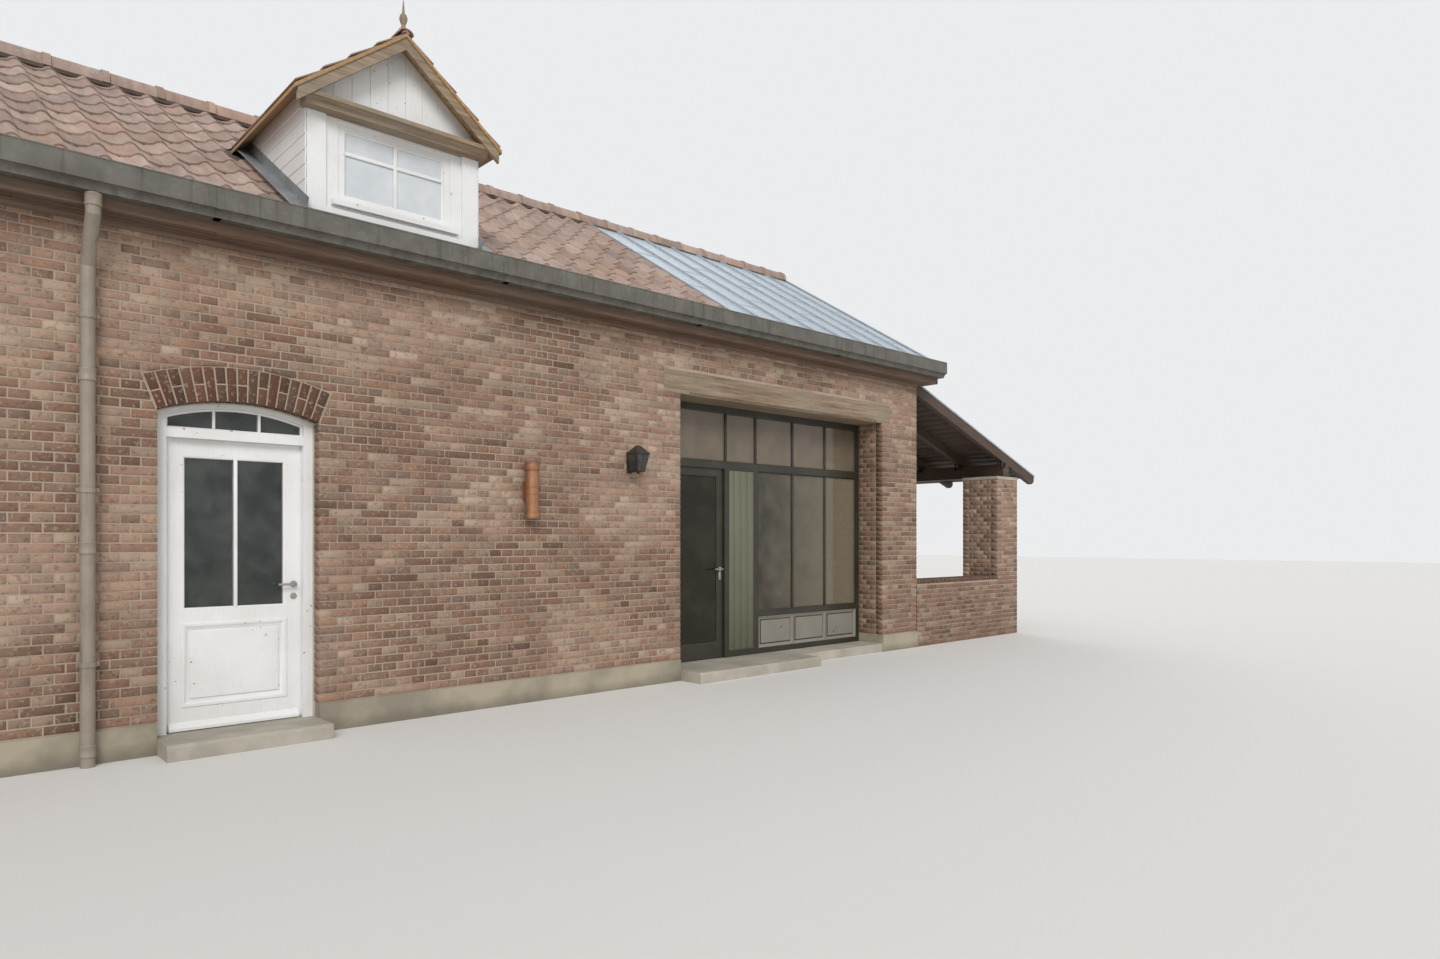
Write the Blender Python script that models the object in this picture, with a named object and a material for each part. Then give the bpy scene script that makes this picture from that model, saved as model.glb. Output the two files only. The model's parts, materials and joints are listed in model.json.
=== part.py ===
"""Long, low brick farmhouse wing: a gabled roof with a white dormer, a half-glazed door under a
segmental arch, a wide glazed entrance set back in the wall, and a lean-to canopy on the far gable.

Metres, +Z up. X runs along the front, which faces -Y, and the ridge lies over Y = 0. The origin is
on the ground in the middle of the building's overall length and depth. Distances called "from the
left corner" run along the front from the outer face of the left gable.
"""

from math import atan2, cos, pi, radians, sin, sqrt, tan

import bmesh
import bpy
from mathutils import Matrix, Vector

# Fits
SEAT_GAP = 0.0003
MOVING_GAP = 0.006
FREE_EDGE_GAP = 0.008
CUT_MARGIN = 1.0
SMOOTH_ANGLE = radians(35)

# Main body
FRONT_LENGTH = 12.0
HOUSE_DEPTH = 5.0
WALL_THICKNESS = 0.48
PLINTH_HEIGHT = 0.20
PLINTH_PROUD = 0.015
FLOOR_LEVEL = 0.10
LOFT_BELOW_WALL_TOP = 0.35
LOFT_BOARD_THICKNESS = 0.03
LOFT_JOIST_DEPTH = 0.15
LOFT_JOIST_WIDTH = 0.10
LOFT_JOIST_SPACING = 0.80

# Main roof
ROOF_PITCH = radians(31.5)
RIDGE_ARC_STEPS = 12
COVERING_THICKNESS = 0.07
DECK_THICKNESS = 0.022
RAFTER_DEPTH = 0.12
RAFTER_WIDTH = 0.08
RAFTER_SPACING = 0.75
EAVES_OVERHANG = 0.20
COVERING_DRIP = 0.05
VERGE_OVERHANG = 0.18
BARGE_THICKNESS = 0.03
BARGE_DEPTH = 0.20
EAVES_BOARD_THICKNESS = 0.025
SHEET_ROOF_FROM_LEFT = 8.64
RIDGE_TILE_WIDTH = 0.23
RIDGE_TILE_RISE = 0.065
PANTILE_WIDTH = 0.226
PANTILE_ROLL_SHARE = 0.42
PANTILE_ROLL_RISE = 0.030
PANTILE_PAN_DEPTH = 0.012
PANTILE_ROLL_STEPS = 4
PANTILE_PAN_STEPS = 2
SHEET_SEAM_SPACING = 0.44
SHEET_SEAM_HEIGHT = 0.025
SHEET_SEAM_WIDTH = 0.024

# Box gutters and downpipes
GUTTER_WIDTH = 0.14
GUTTER_HEIGHT = 0.19
GUTTER_RIM_OVER_DRIP = 0.012
GUTTER_BOARD = 0.012
GUTTER_COVE = 0.045
GUTTER_BACK_GAP = 0.008
GUTTER_COVE_STEPS = 6
DOWNPIPE_RADIUS = 0.040
DOWNPIPE_FROM_LEFT = 3.29
DOWNPIPE_WALL_GAP = 0.020
DOWNPIPE_NECK = 0.12
DOWNPIPE_SWEEP = 0.26
DOWNPIPE_CLIP_COUNT = 3
DOWNPIPE_CLIP_ABOVE_GROUND = 0.60
DOWNPIPE_CLIP_BELOW_SWEEP = 0.32
DOWNPIPE_CLIP_HEIGHT = 0.03
DOWNPIPE_CLIP_PROUD = 0.006
DOWNPIPE_SIDES = 16

# Half-glazed front door
DOOR_FROM_LEFT = 3.66
DOOR_OPENING_WIDTH = 1.00
DOOR_SPRING_HEIGHT = 2.20
DOOR_ARCH_RISE = 0.09
DOOR_ARCH_STEPS = 16
DOOR_ARCH_DEPTH = 0.22
DOOR_REVEAL = 0.10
DOOR_FRAME_DEPTH = 0.10
DOOR_JAMB = 0.075
DOOR_STOP_OVERLAP = 0.012
DOOR_STOP_DEPTH = 0.05
DOOR_LEAF_THICKNESS = 0.045
DOOR_LEAF_BELOW_SPRING = 0.165
DOOR_TRANSOM_HEIGHT = 0.05
FANLIGHT_SPRING_DROP = 0.025
FANLIGHT_RISE_DROP = 0.017
DOOR_STILE = 0.11
DOOR_GLASS_BOTTOM = 0.90
DOOR_TOP_RAIL = 0.12
DOOR_PANEL_RECESS = 0.012
DOOR_PANEL_FIELD_INSET = 0.045
DOOR_PANEL_FIELD_RISE = 0.008
DOOR_DRIP_PROUD = 0.028
DOOR_DRIP_HEIGHT = 0.055
DOOR_DRIP_NOSE = 0.018
DOOR_DRIP_END_GAP = 0.020
DOOR_PANEL_BOTTOM_RAIL = 0.16
DOOR_PANEL_TOP_RAIL = 0.10
DOOR_GLASS_THICKNESS = 0.020
DOOR_STEP_PROUD = 0.28

# Glazed entrance
ENTRANCE_FROM_LEFT = 8.04
ENTRANCE_WIDTH = 3.25
ENTRANCE_HEIGHT = 2.78
ENTRANCE_REVEAL = 0.36
ENTRANCE_FRAME_DEPTH = 0.07
ENTRANCE_JAMB = 0.06
ENTRANCE_RAIL = 0.06
ENTRANCE_STOP_DEPTH = 0.020
ENTRANCE_LEAF_THICKNESS = 0.045
ENTRANCE_DOOR_CLEAR_WIDTH = 0.88
ENTRANCE_PANEL_WIDTH = 0.40
ENTRANCE_TRANSOM_BOTTOM = 2.12
ENTRANCE_LOW_PANEL_TOP = 0.57
ENTRANCE_LOW_PANEL_RECESS = 0.020
ENTRANCE_STILE = 0.085
ENTRANCE_BOTTOM_RAIL = 0.16
ENTRANCE_PANEL_THICKNESS = 0.040
LINTEL_HEIGHT = 0.22
LINTEL_CHAMFER = 0.025
LINTEL_CHAMFER_STOP = 0.12
WALL_OVER_LINTEL = 0.479
LINTEL_BEARING_LEFT = 0.20
LINTEL_BEARING_RIGHT = 0.15
ENTRANCE_STEP_PROUD = 0.30
ENTRANCE_STEP_WIDTH = 1.75
STEP_NOSING = 0.018

# Hinges and handles
HINGE_RADIUS = 0.008
HINGE_NECK = 0.0096
HINGE_AXIS_OFF_FACE = 0.010
HINGE_AXIS_OFF_EDGE = 0.003
HINGE_HALF_HEIGHT = 0.05
HINGE_PLATE_LENGTH = 0.030
HINGE_PLATE_THICKNESS = 0.004
HINGE_FROM_END = 0.25
HINGE_ARC_STEPS = 12
HANDLE_HEIGHT = 1.05
HANDLE_FROM_EDGE = 0.055
HANDLE_ROSE_RADIUS = 0.024
HANDLE_ROSE_THICKNESS = 0.008
HANDLE_SPINDLE_RADIUS = 0.008
HANDLE_STAND_OFF = 0.045
HANDLE_LEVER_LENGTH = 0.115
HANDLE_LEVER_RADIUS = 0.009
HANDLE_HOLE_OVERRUN = 0.01
HANDLE_ROSE_SIDES = 20
HANDLE_SPINDLE_SIDES = 12
HANDLE_LEVER_SIDES = 10

# Dormer
DORMER_FROM_LEFT = 5.20
DORMER_WIDTH = 1.30
DORMER_ROOF_WIDTH = 1.56
DORMER_FORWARD = 0.05
DORMER_FRONT_THICKNESS = 0.08
DORMER_CHEEK_THICKNESS = 0.08
DORMER_BELOW_APEX = 0.15
DORMER_PITCH = radians(39)
DORMER_ROOF_THICKNESS = 0.06
DORMER_ROOF_OVERHANG = 0.18
DORMER_POST_WIDTH = 0.13
DORMER_POST_PROUD = 0.022
DORMER_BASE_RISE = 0.025
DORMER_WINDOW_WIDTH = 0.86
DORMER_WINDOW_HEIGHT = 0.575
DORMER_SILL_ABOVE_ROOF = 0.088
DORMER_SILL_PROUD = 0.045
DORMER_SILL_HEIGHT = 0.04
DORMER_SILL_REACH = 0.05
DORMER_FRAME_BAR = 0.05
DORMER_FRAME_DEPTH = 0.06
DORMER_GLASS_THICKNESS = 0.016
DORMER_VERGE_DEPTH = 0.09
DORMER_VERGE_THICKNESS = 0.03
DORMER_VERGE_INSET = 0.02
DORMER_VERGE_SETBACK = 0.01
DORMER_CUT_DEPTH = 0.10
DORMER_CORNICE_HEIGHT = 0.08
DORMER_CORNICE_WIDTH = 1.38
DORMER_CORNICE_COVE = 0.05
DORMER_CORNICE_GAP = 0.012
FINIAL_HEIGHT = 0.24
FINIAL_WIDTH = 0.066
FINIAL_SETBACK = 0.06
FINIAL_SIDES = 12
FINIAL_SHAPE = ((0.9, 0), (1, 0.06), (0.6, 0.11), (0.42, 0.19), (0.8, 0.32), (0.9, 0.41),
                (0.72, 0.50), (0.3, 0.57), (0.21, 0.75), (0.06, 1))

# Lean-to canopy
CANOPY_REACH = 3.14
CANOPY_BELOW_WALL_TOP = 0.08
CANOPY_FALL = 1.07
CANOPY_SIDE_INSET = 0.02
CANOPY_ROOF_THICKNESS = 0.05
CANOPY_RAFTER_DEPTH = 0.12
CANOPY_RAFTER_WIDTH = 0.07
CANOPY_RAFTER_COUNT = 8
CANOPY_BEAM_DEPTH = 0.18
CANOPY_BEAM_WIDTH = 0.16
CANOPY_BEAM_NOTCH = 0.02
CANOPY_RAFTER_SETBACK = 0.04
CANOPY_RAFTER_NIP = 0.06
PIER_FROM_WALL = 2.00
PIER_SIZE = 0.55
LOW_WALL_HEIGHT = 0.85
LOW_WALL_THICKNESS = 0.22

# Wall fittings
LAMP_FROM_LEFT = 6.34
LAMP_CENTRE_HEIGHT = 1.77
LAMP_LENGTH = 0.46
LAMP_RADIUS = 0.055
LAMP_COLLAR_HEIGHT = 0.06
LAMP_COLLAR_PROUD = 0.008
LAMP_HOLLOW = 0.045
LAMP_SHEET = 0.006
LAMP_STAND_OFF = 0.035
LAMP_PLATE_WIDTH = 0.08
LAMP_PLATE_HEIGHT = 0.16
LAMP_PLATE_THICKNESS = 0.012
LAMP_SIDES = 24
LANTERN_FROM_LEFT = 7.42
LANTERN_TOP_HEIGHT = 2.22
LANTERN_WIDTH = 0.15
LANTERN_BASE_WIDTH = 0.09
LANTERN_BODY_HEIGHT = 0.17
LANTERN_CAP_HEIGHT = 0.07
LANTERN_STAND_OFF = 0.06
LANTERN_ARM = 0.016
LANTERN_PLATE_WIDTH = 0.06
LANTERN_PLATE_THICKNESS = 0.010
LANTERN_KNOB = 0.03

# Places worked out from the sizes above
OVERALL_LENGTH = VERGE_OVERHANG + FRONT_LENGTH + CANOPY_REACH
LEFT = VERGE_OVERHANG - OVERALL_LENGTH / 2
RIGHT = LEFT + FRONT_LENGTH
INNER_LEFT = LEFT + WALL_THICKNESS
INNER_RIGHT = RIGHT - WALL_THICKNESS
FACE = -HOUSE_DEPTH / 2
INNER_FACE = FACE + WALL_THICKNESS
EAVES = FACE - EAVES_OVERHANG
COVERING_DROP = COVERING_THICKNESS / cos(ROOF_PITCH)
DECK_DROP = COVERING_DROP + DECK_THICKNESS / cos(ROOF_PITCH)
RAFTER_DROP = DECK_DROP + RAFTER_DEPTH / cos(ROOF_PITCH)
WALL_TOP = ENTRANCE_HEIGHT + LINTEL_HEIGHT + WALL_OVER_LINTEL
ROOF_APEX = WALL_TOP + SEAT_GAP + RAFTER_DROP - FACE * tan(ROOF_PITCH)
LOFT_BOARDS_TOP = WALL_TOP - LOFT_BELOW_WALL_TOP
DOOR_LEAF_HEAD = DOOR_SPRING_HEIGHT - DOOR_LEAF_BELOW_SPRING
DORMER_X = LEFT + DORMER_FROM_LEFT
DORMER_FACE = FACE - DORMER_FORWARD
DORMER_APEX = ROOF_APEX - DORMER_BELOW_APEX
CANOPY_TOP = WALL_TOP - CANOPY_BELOW_WALL_TOP


def roof_height(y):
    """Height of the top of the roof covering at a distance y from the ridge."""
    return ROOF_APEX - abs(y) * tan(ROOF_PITCH)


def dormer_underside(x):
    """Height of the underside of the dormer's roof at a distance x from its own middle."""
    return DORMER_APEX - DORMER_ROOF_THICKNESS - abs(x) * tan(DORMER_PITCH)


def canopy_top(x):
    """Height of the top of the canopy at a distance x from the gable."""
    return CANOPY_TOP - CANOPY_FALL * x / CANOPY_REACH


SOFFIT_TOP = roof_height(EAVES) - RAFTER_DROP - SEAT_GAP
GUTTER_RIM = roof_height(EAVES - COVERING_DRIP) + GUTTER_RIM_OVER_DRIP
GUTTER_BOTTOM = GUTTER_RIM - GUTTER_HEIGHT
GUTTER_BACK = EAVES - SEAT_GAP
GUTTER_FRONT = GUTTER_BACK - GUTTER_WIDTH
DORMER_WINDOW_BOTTOM = roof_height(DORMER_FACE) + DORMER_SILL_ABOVE_ROOF
DORMER_WINDOW_TOP = DORMER_WINDOW_BOTTOM + DORMER_WINDOW_HEIGHT
DORMER_CORNICE_BOTTOM = DORMER_WINDOW_TOP + DORMER_CORNICE_GAP


def clear_scene():
    """Remove what a new Blender file starts with."""
    for item in list(bpy.data.objects):
        bpy.data.objects.remove(item, do_unlink=True)


def finish(name, colour, roughness, metallic=0.0, alpha=1.0):
    """Make a Principled material."""
    material = bpy.data.materials.new(name)
    material.use_nodes = True
    shader = material.node_tree.nodes["Principled BSDF"]
    shader.inputs["Base Color"].default_value = (*colour, 1.0)
    shader.inputs["Roughness"].default_value = roughness
    shader.inputs["Metallic"].default_value = metallic
    shader.inputs["Alpha"].default_value = alpha
    material.diffuse_color = (*colour, alpha)
    return material


def group(name, location):
    """Add an empty that carries a set of pieces."""
    empty = bpy.data.objects.new(name, None)
    empty.location = location
    bpy.context.scene.collection.objects.link(empty)
    return empty


def add_piece(name, bm, material, carrier=None, smooth=False):
    """Turn a bmesh in world coordinates into an object that stands at the middle of its own base."""
    bmesh.ops.recalc_face_normals(bm, faces=bm.faces)
    low = Vector([min(v.co[axis] for v in bm.verts) for axis in range(3)])
    high = Vector([max(v.co[axis] for v in bm.verts) for axis in range(3)])
    anchor = Vector(((low.x + high.x) / 2, (low.y + high.y) / 2, low.z))
    if carrier is not None:
        anchor = carrier.location.copy()
    bmesh.ops.translate(bm, verts=bm.verts, vec=-anchor)
    mesh = bpy.data.meshes.new(name)
    bm.to_mesh(mesh)
    bm.free()
    if smooth:
        mesh.shade_smooth()
        mesh.set_sharp_from_angle(angle=SMOOTH_ANGLE)
    piece = bpy.data.objects.new(name, mesh)
    bpy.context.scene.collection.objects.link(piece)
    if material is not None:
        mesh.materials.append(material)
    if carrier is None:
        piece.location = anchor
    else:
        piece.parent = carrier
    return piece


def swept(outline, axis, start, end):
    """Sweep a flat outline along an axis. The outline's pairs are the two other coordinates in order."""
    along = "XYZ".index(axis)
    bm = bmesh.new()
    corners = []
    for pair in outline:
        place = list(pair)
        place.insert(along, start)
        corners.append(bm.verts.new(place))
    bm.faces.new(corners)
    moved = bmesh.ops.extrude_face_region(bm, geom=bm.faces[:])
    step = Vector((0, 0, 0))
    step[along] = end - start
    verts = [item for item in moved["geom"] if isinstance(item, bmesh.types.BMVert)]
    bmesh.ops.translate(bm, verts=verts, vec=step)
    return bm


def rectangle(low_first, high_first, low_second, high_second):
    """Corners of an upright rectangle."""
    return [(low_first, low_second), (high_first, low_second),
            (high_first, high_second), (low_first, high_second)]


def block(low, high):
    """A box between two corners."""
    return swept(rectangle(low[0], high[0], low[1], high[1]), "Z", low[2], high[2])


def arc(centre, radius, start, end, steps):
    """Points along an arc, from one angle to another."""
    points = []
    for index in range(steps + 1):
        angle = start + (end - start) * index / steps
        points.append((centre[0] + radius * cos(angle), centre[1] + radius * sin(angle)))
    return points


def segment_arc(left, right, spring, rise, steps):
    """Points of a segmental arc, from its left foot over the crown to its right foot."""
    half = (right - left) / 2
    radius = (half * half + rise * rise) / (2 * rise)
    centre = ((left + right) / 2, spring + rise - radius)
    spread = atan2(half, radius - rise)
    return arc(centre, radius, pi / 2 + spread, pi / 2 - spread, steps)


def change(target, tool, operation):
    """Cut a tool out of a piece, or join it on, and keep the tool as a guide only."""
    modifier = target.modifiers.new(tool.name, "BOOLEAN")
    modifier.operation = operation
    modifier.solver = "EXACT"
    modifier.object = tool
    tool.hide_render = True
    tool.display_type = "WIRE"


def tapered(x, y, low, high, low_width, high_width):
    """An upright square frustum on the middle (x, y), between two heights."""
    bm = bmesh.new()
    turn = Matrix.Rotation(pi / 4, 4, "Z")
    place = Matrix.Translation((x, y, (low + high) / 2))
    bmesh.ops.create_cone(bm, cap_ends=True, segments=4, radius1=low_width / sqrt(2),
                          radius2=high_width / sqrt(2), depth=high - low, matrix=place @ turn)
    return bm


def cut(target, bm, carrier=None):
    """Cut a shape out of a piece."""
    change(target, add_piece(target.name + "_cut", bm, None, carrier), "DIFFERENCE")


def join(target, bm, carrier=None):
    """Join a shape onto a piece."""
    change(target, add_piece(target.name + "_add", bm, None, carrier), "UNION")


def keep(target, bm, carrier=None):
    """Keep what a piece and a shape have in common."""
    change(target, add_piece(target.name + "_keep", bm, None, carrier), "INTERSECT")


def turned(profile, steps):
    """Turn a profile of (radius, height) pairs round the Z axis. Both ends lie on the axis."""
    bm = bmesh.new()
    verts = [bm.verts.new((radius, 0, height)) for radius, height in profile]
    edges = [bm.edges.new(pair) for pair in zip(verts, verts[1:])]
    bmesh.ops.spin(bm, geom=verts + edges, cent=(0, 0, 0), axis=(0, 0, 1), angle=2 * pi,
                   steps=steps, use_merge=True)
    bmesh.ops.remove_doubles(bm, verts=bm.verts, dist=1e-6)
    return bm


def rod(start, end, radius, sides):
    """A round rod between two points."""
    bm = bmesh.new()
    axis = Vector(end) - Vector(start)
    turn = axis.to_track_quat("Z", "Y").to_matrix().to_4x4()
    turn.translation = (Vector(start) + Vector(end)) / 2
    bmesh.ops.create_cone(bm, cap_ends=True, segments=sides, radius1=radius, radius2=radius,
                          depth=axis.length, matrix=turn)
    return bm


def pipe(route, radius, sides):
    """A round pipe along a route of straight runs that lie in one plane of constant X."""
    bm = bmesh.new()
    points = [Vector(point) for point in route]
    rings = []
    for index, point in enumerate(points):
        before = (point - points[max(index - 1, 0)]).normalized()
        after = (points[min(index + 1, len(points) - 1)] - point).normalized()
        way = (before + after).normalized()
        across = way.cross(Vector((1, 0, 0))).normalized()
        stretch = 1 / way.dot(after if after.length else before)
        ring = []
        for step in range(sides):
            angle = 2 * pi * step / sides
            side = Vector((1, 0, 0)) * cos(angle) * radius
            ring.append(bm.verts.new(point + side + across * sin(angle) * radius * stretch))
        rings.append(ring)
    for low, high in zip(rings, rings[1:]):
        for step in range(sides):
            follow = (step + 1) % sides
            bm.faces.new((low[step], low[follow], high[follow], high[step]))
    bm.faces.new(rings[0])
    bm.faces.new(rings[-1])
    return bm


def wall_profile(outer, inner):
    """Section of a wall with its plinth, from its outer face to its inner face."""
    proud = outer + PLINTH_PROUD * (1 if outer > inner else -1)
    return [(inner, 0), (proud, 0), (proud, PLINTH_HEIGHT), (outer, PLINTH_HEIGHT),
            (outer, WALL_TOP), (inner, WALL_TOP)]


def arch_geometry():
    """Centre, radius and half spread of the door arch's lower curve."""
    half = DOOR_OPENING_WIDTH / 2
    radius = (half * half + DOOR_ARCH_RISE ** 2) / (2 * DOOR_ARCH_RISE)
    centre = (LEFT + DOOR_FROM_LEFT + half, DOOR_SPRING_HEIGHT + DOOR_ARCH_RISE - radius)
    return centre, radius, atan2(half, radius - DOOR_ARCH_RISE)


def build_front_wall(brick, arch_brick, oak):
    """The front wall, split beside and over its two doorways, with the arch and the lintel."""
    door_left = LEFT + DOOR_FROM_LEFT
    door_right = door_left + DOOR_OPENING_WIDTH
    entrance_left = LEFT + ENTRANCE_FROM_LEFT
    entrance_right = entrance_left + ENTRANCE_WIDTH
    centre, radius, spread = arch_geometry()
    skew_run = DOOR_ARCH_DEPTH * sin(spread)
    skew_top = DOOR_SPRING_HEIGHT + DOOR_ARCH_DEPTH * cos(spread)
    profile = wall_profile(FACE, INNER_FACE)
    above = WALL_TOP + CUT_MARGIN

    left_wall = add_piece("front_wall_left",
                          swept(profile, "X", INNER_LEFT + SEAT_GAP, door_left), brick)
    middle_wall = add_piece("front_wall_middle", swept(profile, "X", door_right, entrance_left), brick)
    right_wall = add_piece("front_wall_right",
                           swept(profile, "X", entrance_right, INNER_RIGHT - SEAT_GAP), brick)
    for wall, foot, outwards in ((left_wall, door_left, -1), (middle_wall, door_right, 1)):
        outline = [(foot - outwards, DOOR_SPRING_HEIGHT), (foot, DOOR_SPRING_HEIGHT),
                   (foot + outwards * skew_run, skew_top), (foot + outwards * skew_run, above),
                   (foot - outwards, above)]
        cut(wall, swept(outline, "Y", FACE - CUT_MARGIN, INNER_FACE + CUT_MARGIN))
    for wall, edge, bearing in ((middle_wall, entrance_left, -LINTEL_BEARING_LEFT),
                                (right_wall, entrance_right, LINTEL_BEARING_RIGHT)):
        low, high = sorted((edge + bearing, edge - bearing))
        outline = rectangle(low, high, ENTRANCE_HEIGHT, above)
        cut(wall, swept(outline, "Y", FACE - CUT_MARGIN, INNER_FACE + CUT_MARGIN))

    inset = SEAT_GAP / radius
    ring = arc(centre, radius, pi / 2 + spread - inset, pi / 2 - spread + inset, DOOR_ARCH_STEPS)
    ring += arc(centre, radius + DOOR_ARCH_DEPTH, pi / 2 - spread + inset, pi / 2 + spread - inset,
                DOOR_ARCH_STEPS)
    add_piece("door_arch", swept(ring, "Y", FACE, INNER_FACE), arch_brick)

    over = arc(centre, radius + DOOR_ARCH_DEPTH + SEAT_GAP, pi / 2 + spread - inset,
               pi / 2 - spread + inset, DOOR_ARCH_STEPS)
    over = [(door_left - skew_run + SEAT_GAP, over[0][1])] + over[1:-1]
    over += [(door_right + skew_run - SEAT_GAP, over[0][1])]
    over += [(door_right + skew_run - SEAT_GAP, WALL_TOP), (door_left - skew_run + SEAT_GAP, WALL_TOP)]
    add_piece("front_wall_over_door", swept(over, "Y", FACE, INNER_FACE), brick)

    lintel_left = entrance_left - LINTEL_BEARING_LEFT + SEAT_GAP
    lintel_right = entrance_right + LINTEL_BEARING_RIGHT - SEAT_GAP
    lintel_top = ENTRANCE_HEIGHT + LINTEL_HEIGHT
    lintel_low = ENTRANCE_HEIGHT + SEAT_GAP
    lintel = add_piece("entrance_lintel", block((lintel_left, FACE, lintel_low),
                                                (lintel_right, INNER_FACE, lintel_top)), oak)
    arris = [(FACE + LINTEL_CHAMFER, lintel_low), (FACE, lintel_low + LINTEL_CHAMFER),
             (FACE - LINTEL_CHAMFER, lintel_low + LINTEL_CHAMFER),
             (FACE - LINTEL_CHAMFER, lintel_low - LINTEL_CHAMFER),
             (FACE + LINTEL_CHAMFER, lintel_low - LINTEL_CHAMFER)]
    cut(lintel, swept(arris, "X",
                      entrance_left + LINTEL_CHAMFER_STOP, entrance_right - LINTEL_CHAMFER_STOP))
    add_piece("front_wall_over_entrance", block((lintel_left, FACE, lintel_top + SEAT_GAP),
                                                (lintel_right, INNER_FACE, WALL_TOP)), brick)


def build_other_walls(brick):
    """The rear wall and the two gables, which carry the roof deck's ends."""
    add_piece("rear_wall", swept(wall_profile(-FACE, -INNER_FACE), "X", INNER_LEFT + SEAT_GAP,
                                 INNER_RIGHT - SEAT_GAP), brick)
    rise = [(side, roof_height(side) - DECK_DROP - SEAT_GAP) for side in (-FACE, 0, FACE)]
    outline = [(FACE, 0), (-FACE, 0)] + rise
    for name, outer, inner in (("left_gable", LEFT, INNER_LEFT), ("right_gable", RIGHT, INNER_RIGHT)):
        gable = add_piece(name, swept(outline, "X", outer, inner), brick)
        proud = outer + PLINTH_PROUD * (1 if outer > inner else -1)
        low, high = sorted((proud, inner))
        join(gable, block((low, FACE - PLINTH_PROUD, 0), (high, -FACE + PLINTH_PROUD, PLINTH_HEIGHT)))


def nosing(front):
    """Triangle that takes the upper front arris off a step."""
    return [(front + STEP_NOSING, FLOOR_LEVEL), (front, FLOOR_LEVEL - STEP_NOSING),
            (front - STEP_NOSING, FLOOR_LEVEL - STEP_NOSING),
            (front - STEP_NOSING, FLOOR_LEVEL + STEP_NOSING),
            (front + STEP_NOSING, FLOOR_LEVEL + STEP_NOSING)]


def build_floors(stone, timber):
    """Ground floor, loft floor on joists, and the two stone steps."""
    inside_low = (INNER_LEFT + SEAT_GAP, INNER_FACE + SEAT_GAP)
    inside_high = (INNER_RIGHT - SEAT_GAP, -INNER_FACE - SEAT_GAP)
    add_piece("ground_floor", block((*inside_low, 0), (*inside_high, FLOOR_LEVEL)), stone)
    boards_bottom = LOFT_BOARDS_TOP - LOFT_BOARD_THICKNESS
    loft = add_piece("loft_floor", block((*inside_low, boards_bottom),
                                         (*inside_high, LOFT_BOARDS_TOP)), timber)
    bays = round((inside_high[0] - inside_low[0]) / LOFT_JOIST_SPACING)
    for index in range(1, bays):
        middle = inside_low[0] + (inside_high[0] - inside_low[0]) * index / bays
        half = LOFT_JOIST_WIDTH / 2
        join(loft, block((middle - half, inside_low[1], boards_bottom - LOFT_JOIST_DEPTH),
                         (middle + half, inside_high[1], boards_bottom + LOFT_BOARD_THICKNESS / 2)))
    door_left = LEFT + DOOR_FROM_LEFT + SEAT_GAP
    door_right = door_left + DOOR_OPENING_WIDTH - 2 * SEAT_GAP
    step_front = FACE - DOOR_STEP_PROUD
    step = add_piece("door_step", block((door_left, step_front, 0),
                                        (door_right, INNER_FACE, FLOOR_LEVEL)), stone)
    cut(step, swept(nosing(step_front), "X", door_left - CUT_MARGIN, door_right + CUT_MARGIN))
    left = LEFT + ENTRANCE_FROM_LEFT + SEAT_GAP
    right = left + ENTRANCE_WIDTH - 2 * SEAT_GAP
    corner = left + ENTRANCE_STEP_WIDTH
    step_front = FACE - ENTRANCE_STEP_PROUD
    outline = [(left, INNER_FACE), (left, step_front), (corner, step_front), (corner, FACE),
               (right, FACE), (right, INNER_FACE)]
    step = add_piece("entrance_step", swept(outline, "Z", 0, FLOOR_LEVEL), stone)
    cut(step, swept(nosing(step_front), "X", left - CUT_MARGIN, corner + CUT_MARGIN))


def hinge_outline(axis, towards):
    """Plan of one hinge half: a knuckle on the axis with its plate. towards is 1 for the leaf."""
    sunk = -HINGE_AXIS_OFF_FACE - HINGE_PLATE_THICKNESS / 2
    face = -HINGE_AXIS_OFF_FACE + HINGE_PLATE_THICKNESS
    start, end = radians(-30), radians(230)
    points = [(HINGE_AXIS_OFF_EDGE, sunk), (HINGE_PLATE_LENGTH, sunk), (HINGE_PLATE_LENGTH, face),
              (HINGE_NECK, face)]
    points += arc((0, 0), HINGE_RADIUS, start, end, HINGE_ARC_STEPS)
    return [(axis[0] + towards * x, axis[1] + y) for x, y in points]


def add_hinges(frame, leaf, axis, leaf_low, leaf_high, carrier):
    """Join a lower knuckle to the frame and an upper knuckle to the leaf at each hinge."""
    for height in (leaf_low + HINGE_FROM_END, leaf_high - HINGE_FROM_END):
        join(frame, swept(hinge_outline(axis, -1), "Z", height - HINGE_HALF_HEIGHT, height))
        join(leaf, swept(hinge_outline(axis, 1), "Z", height + 2 * SEAT_GAP,
                         height + HINGE_HALF_HEIGHT), carrier)


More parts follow.
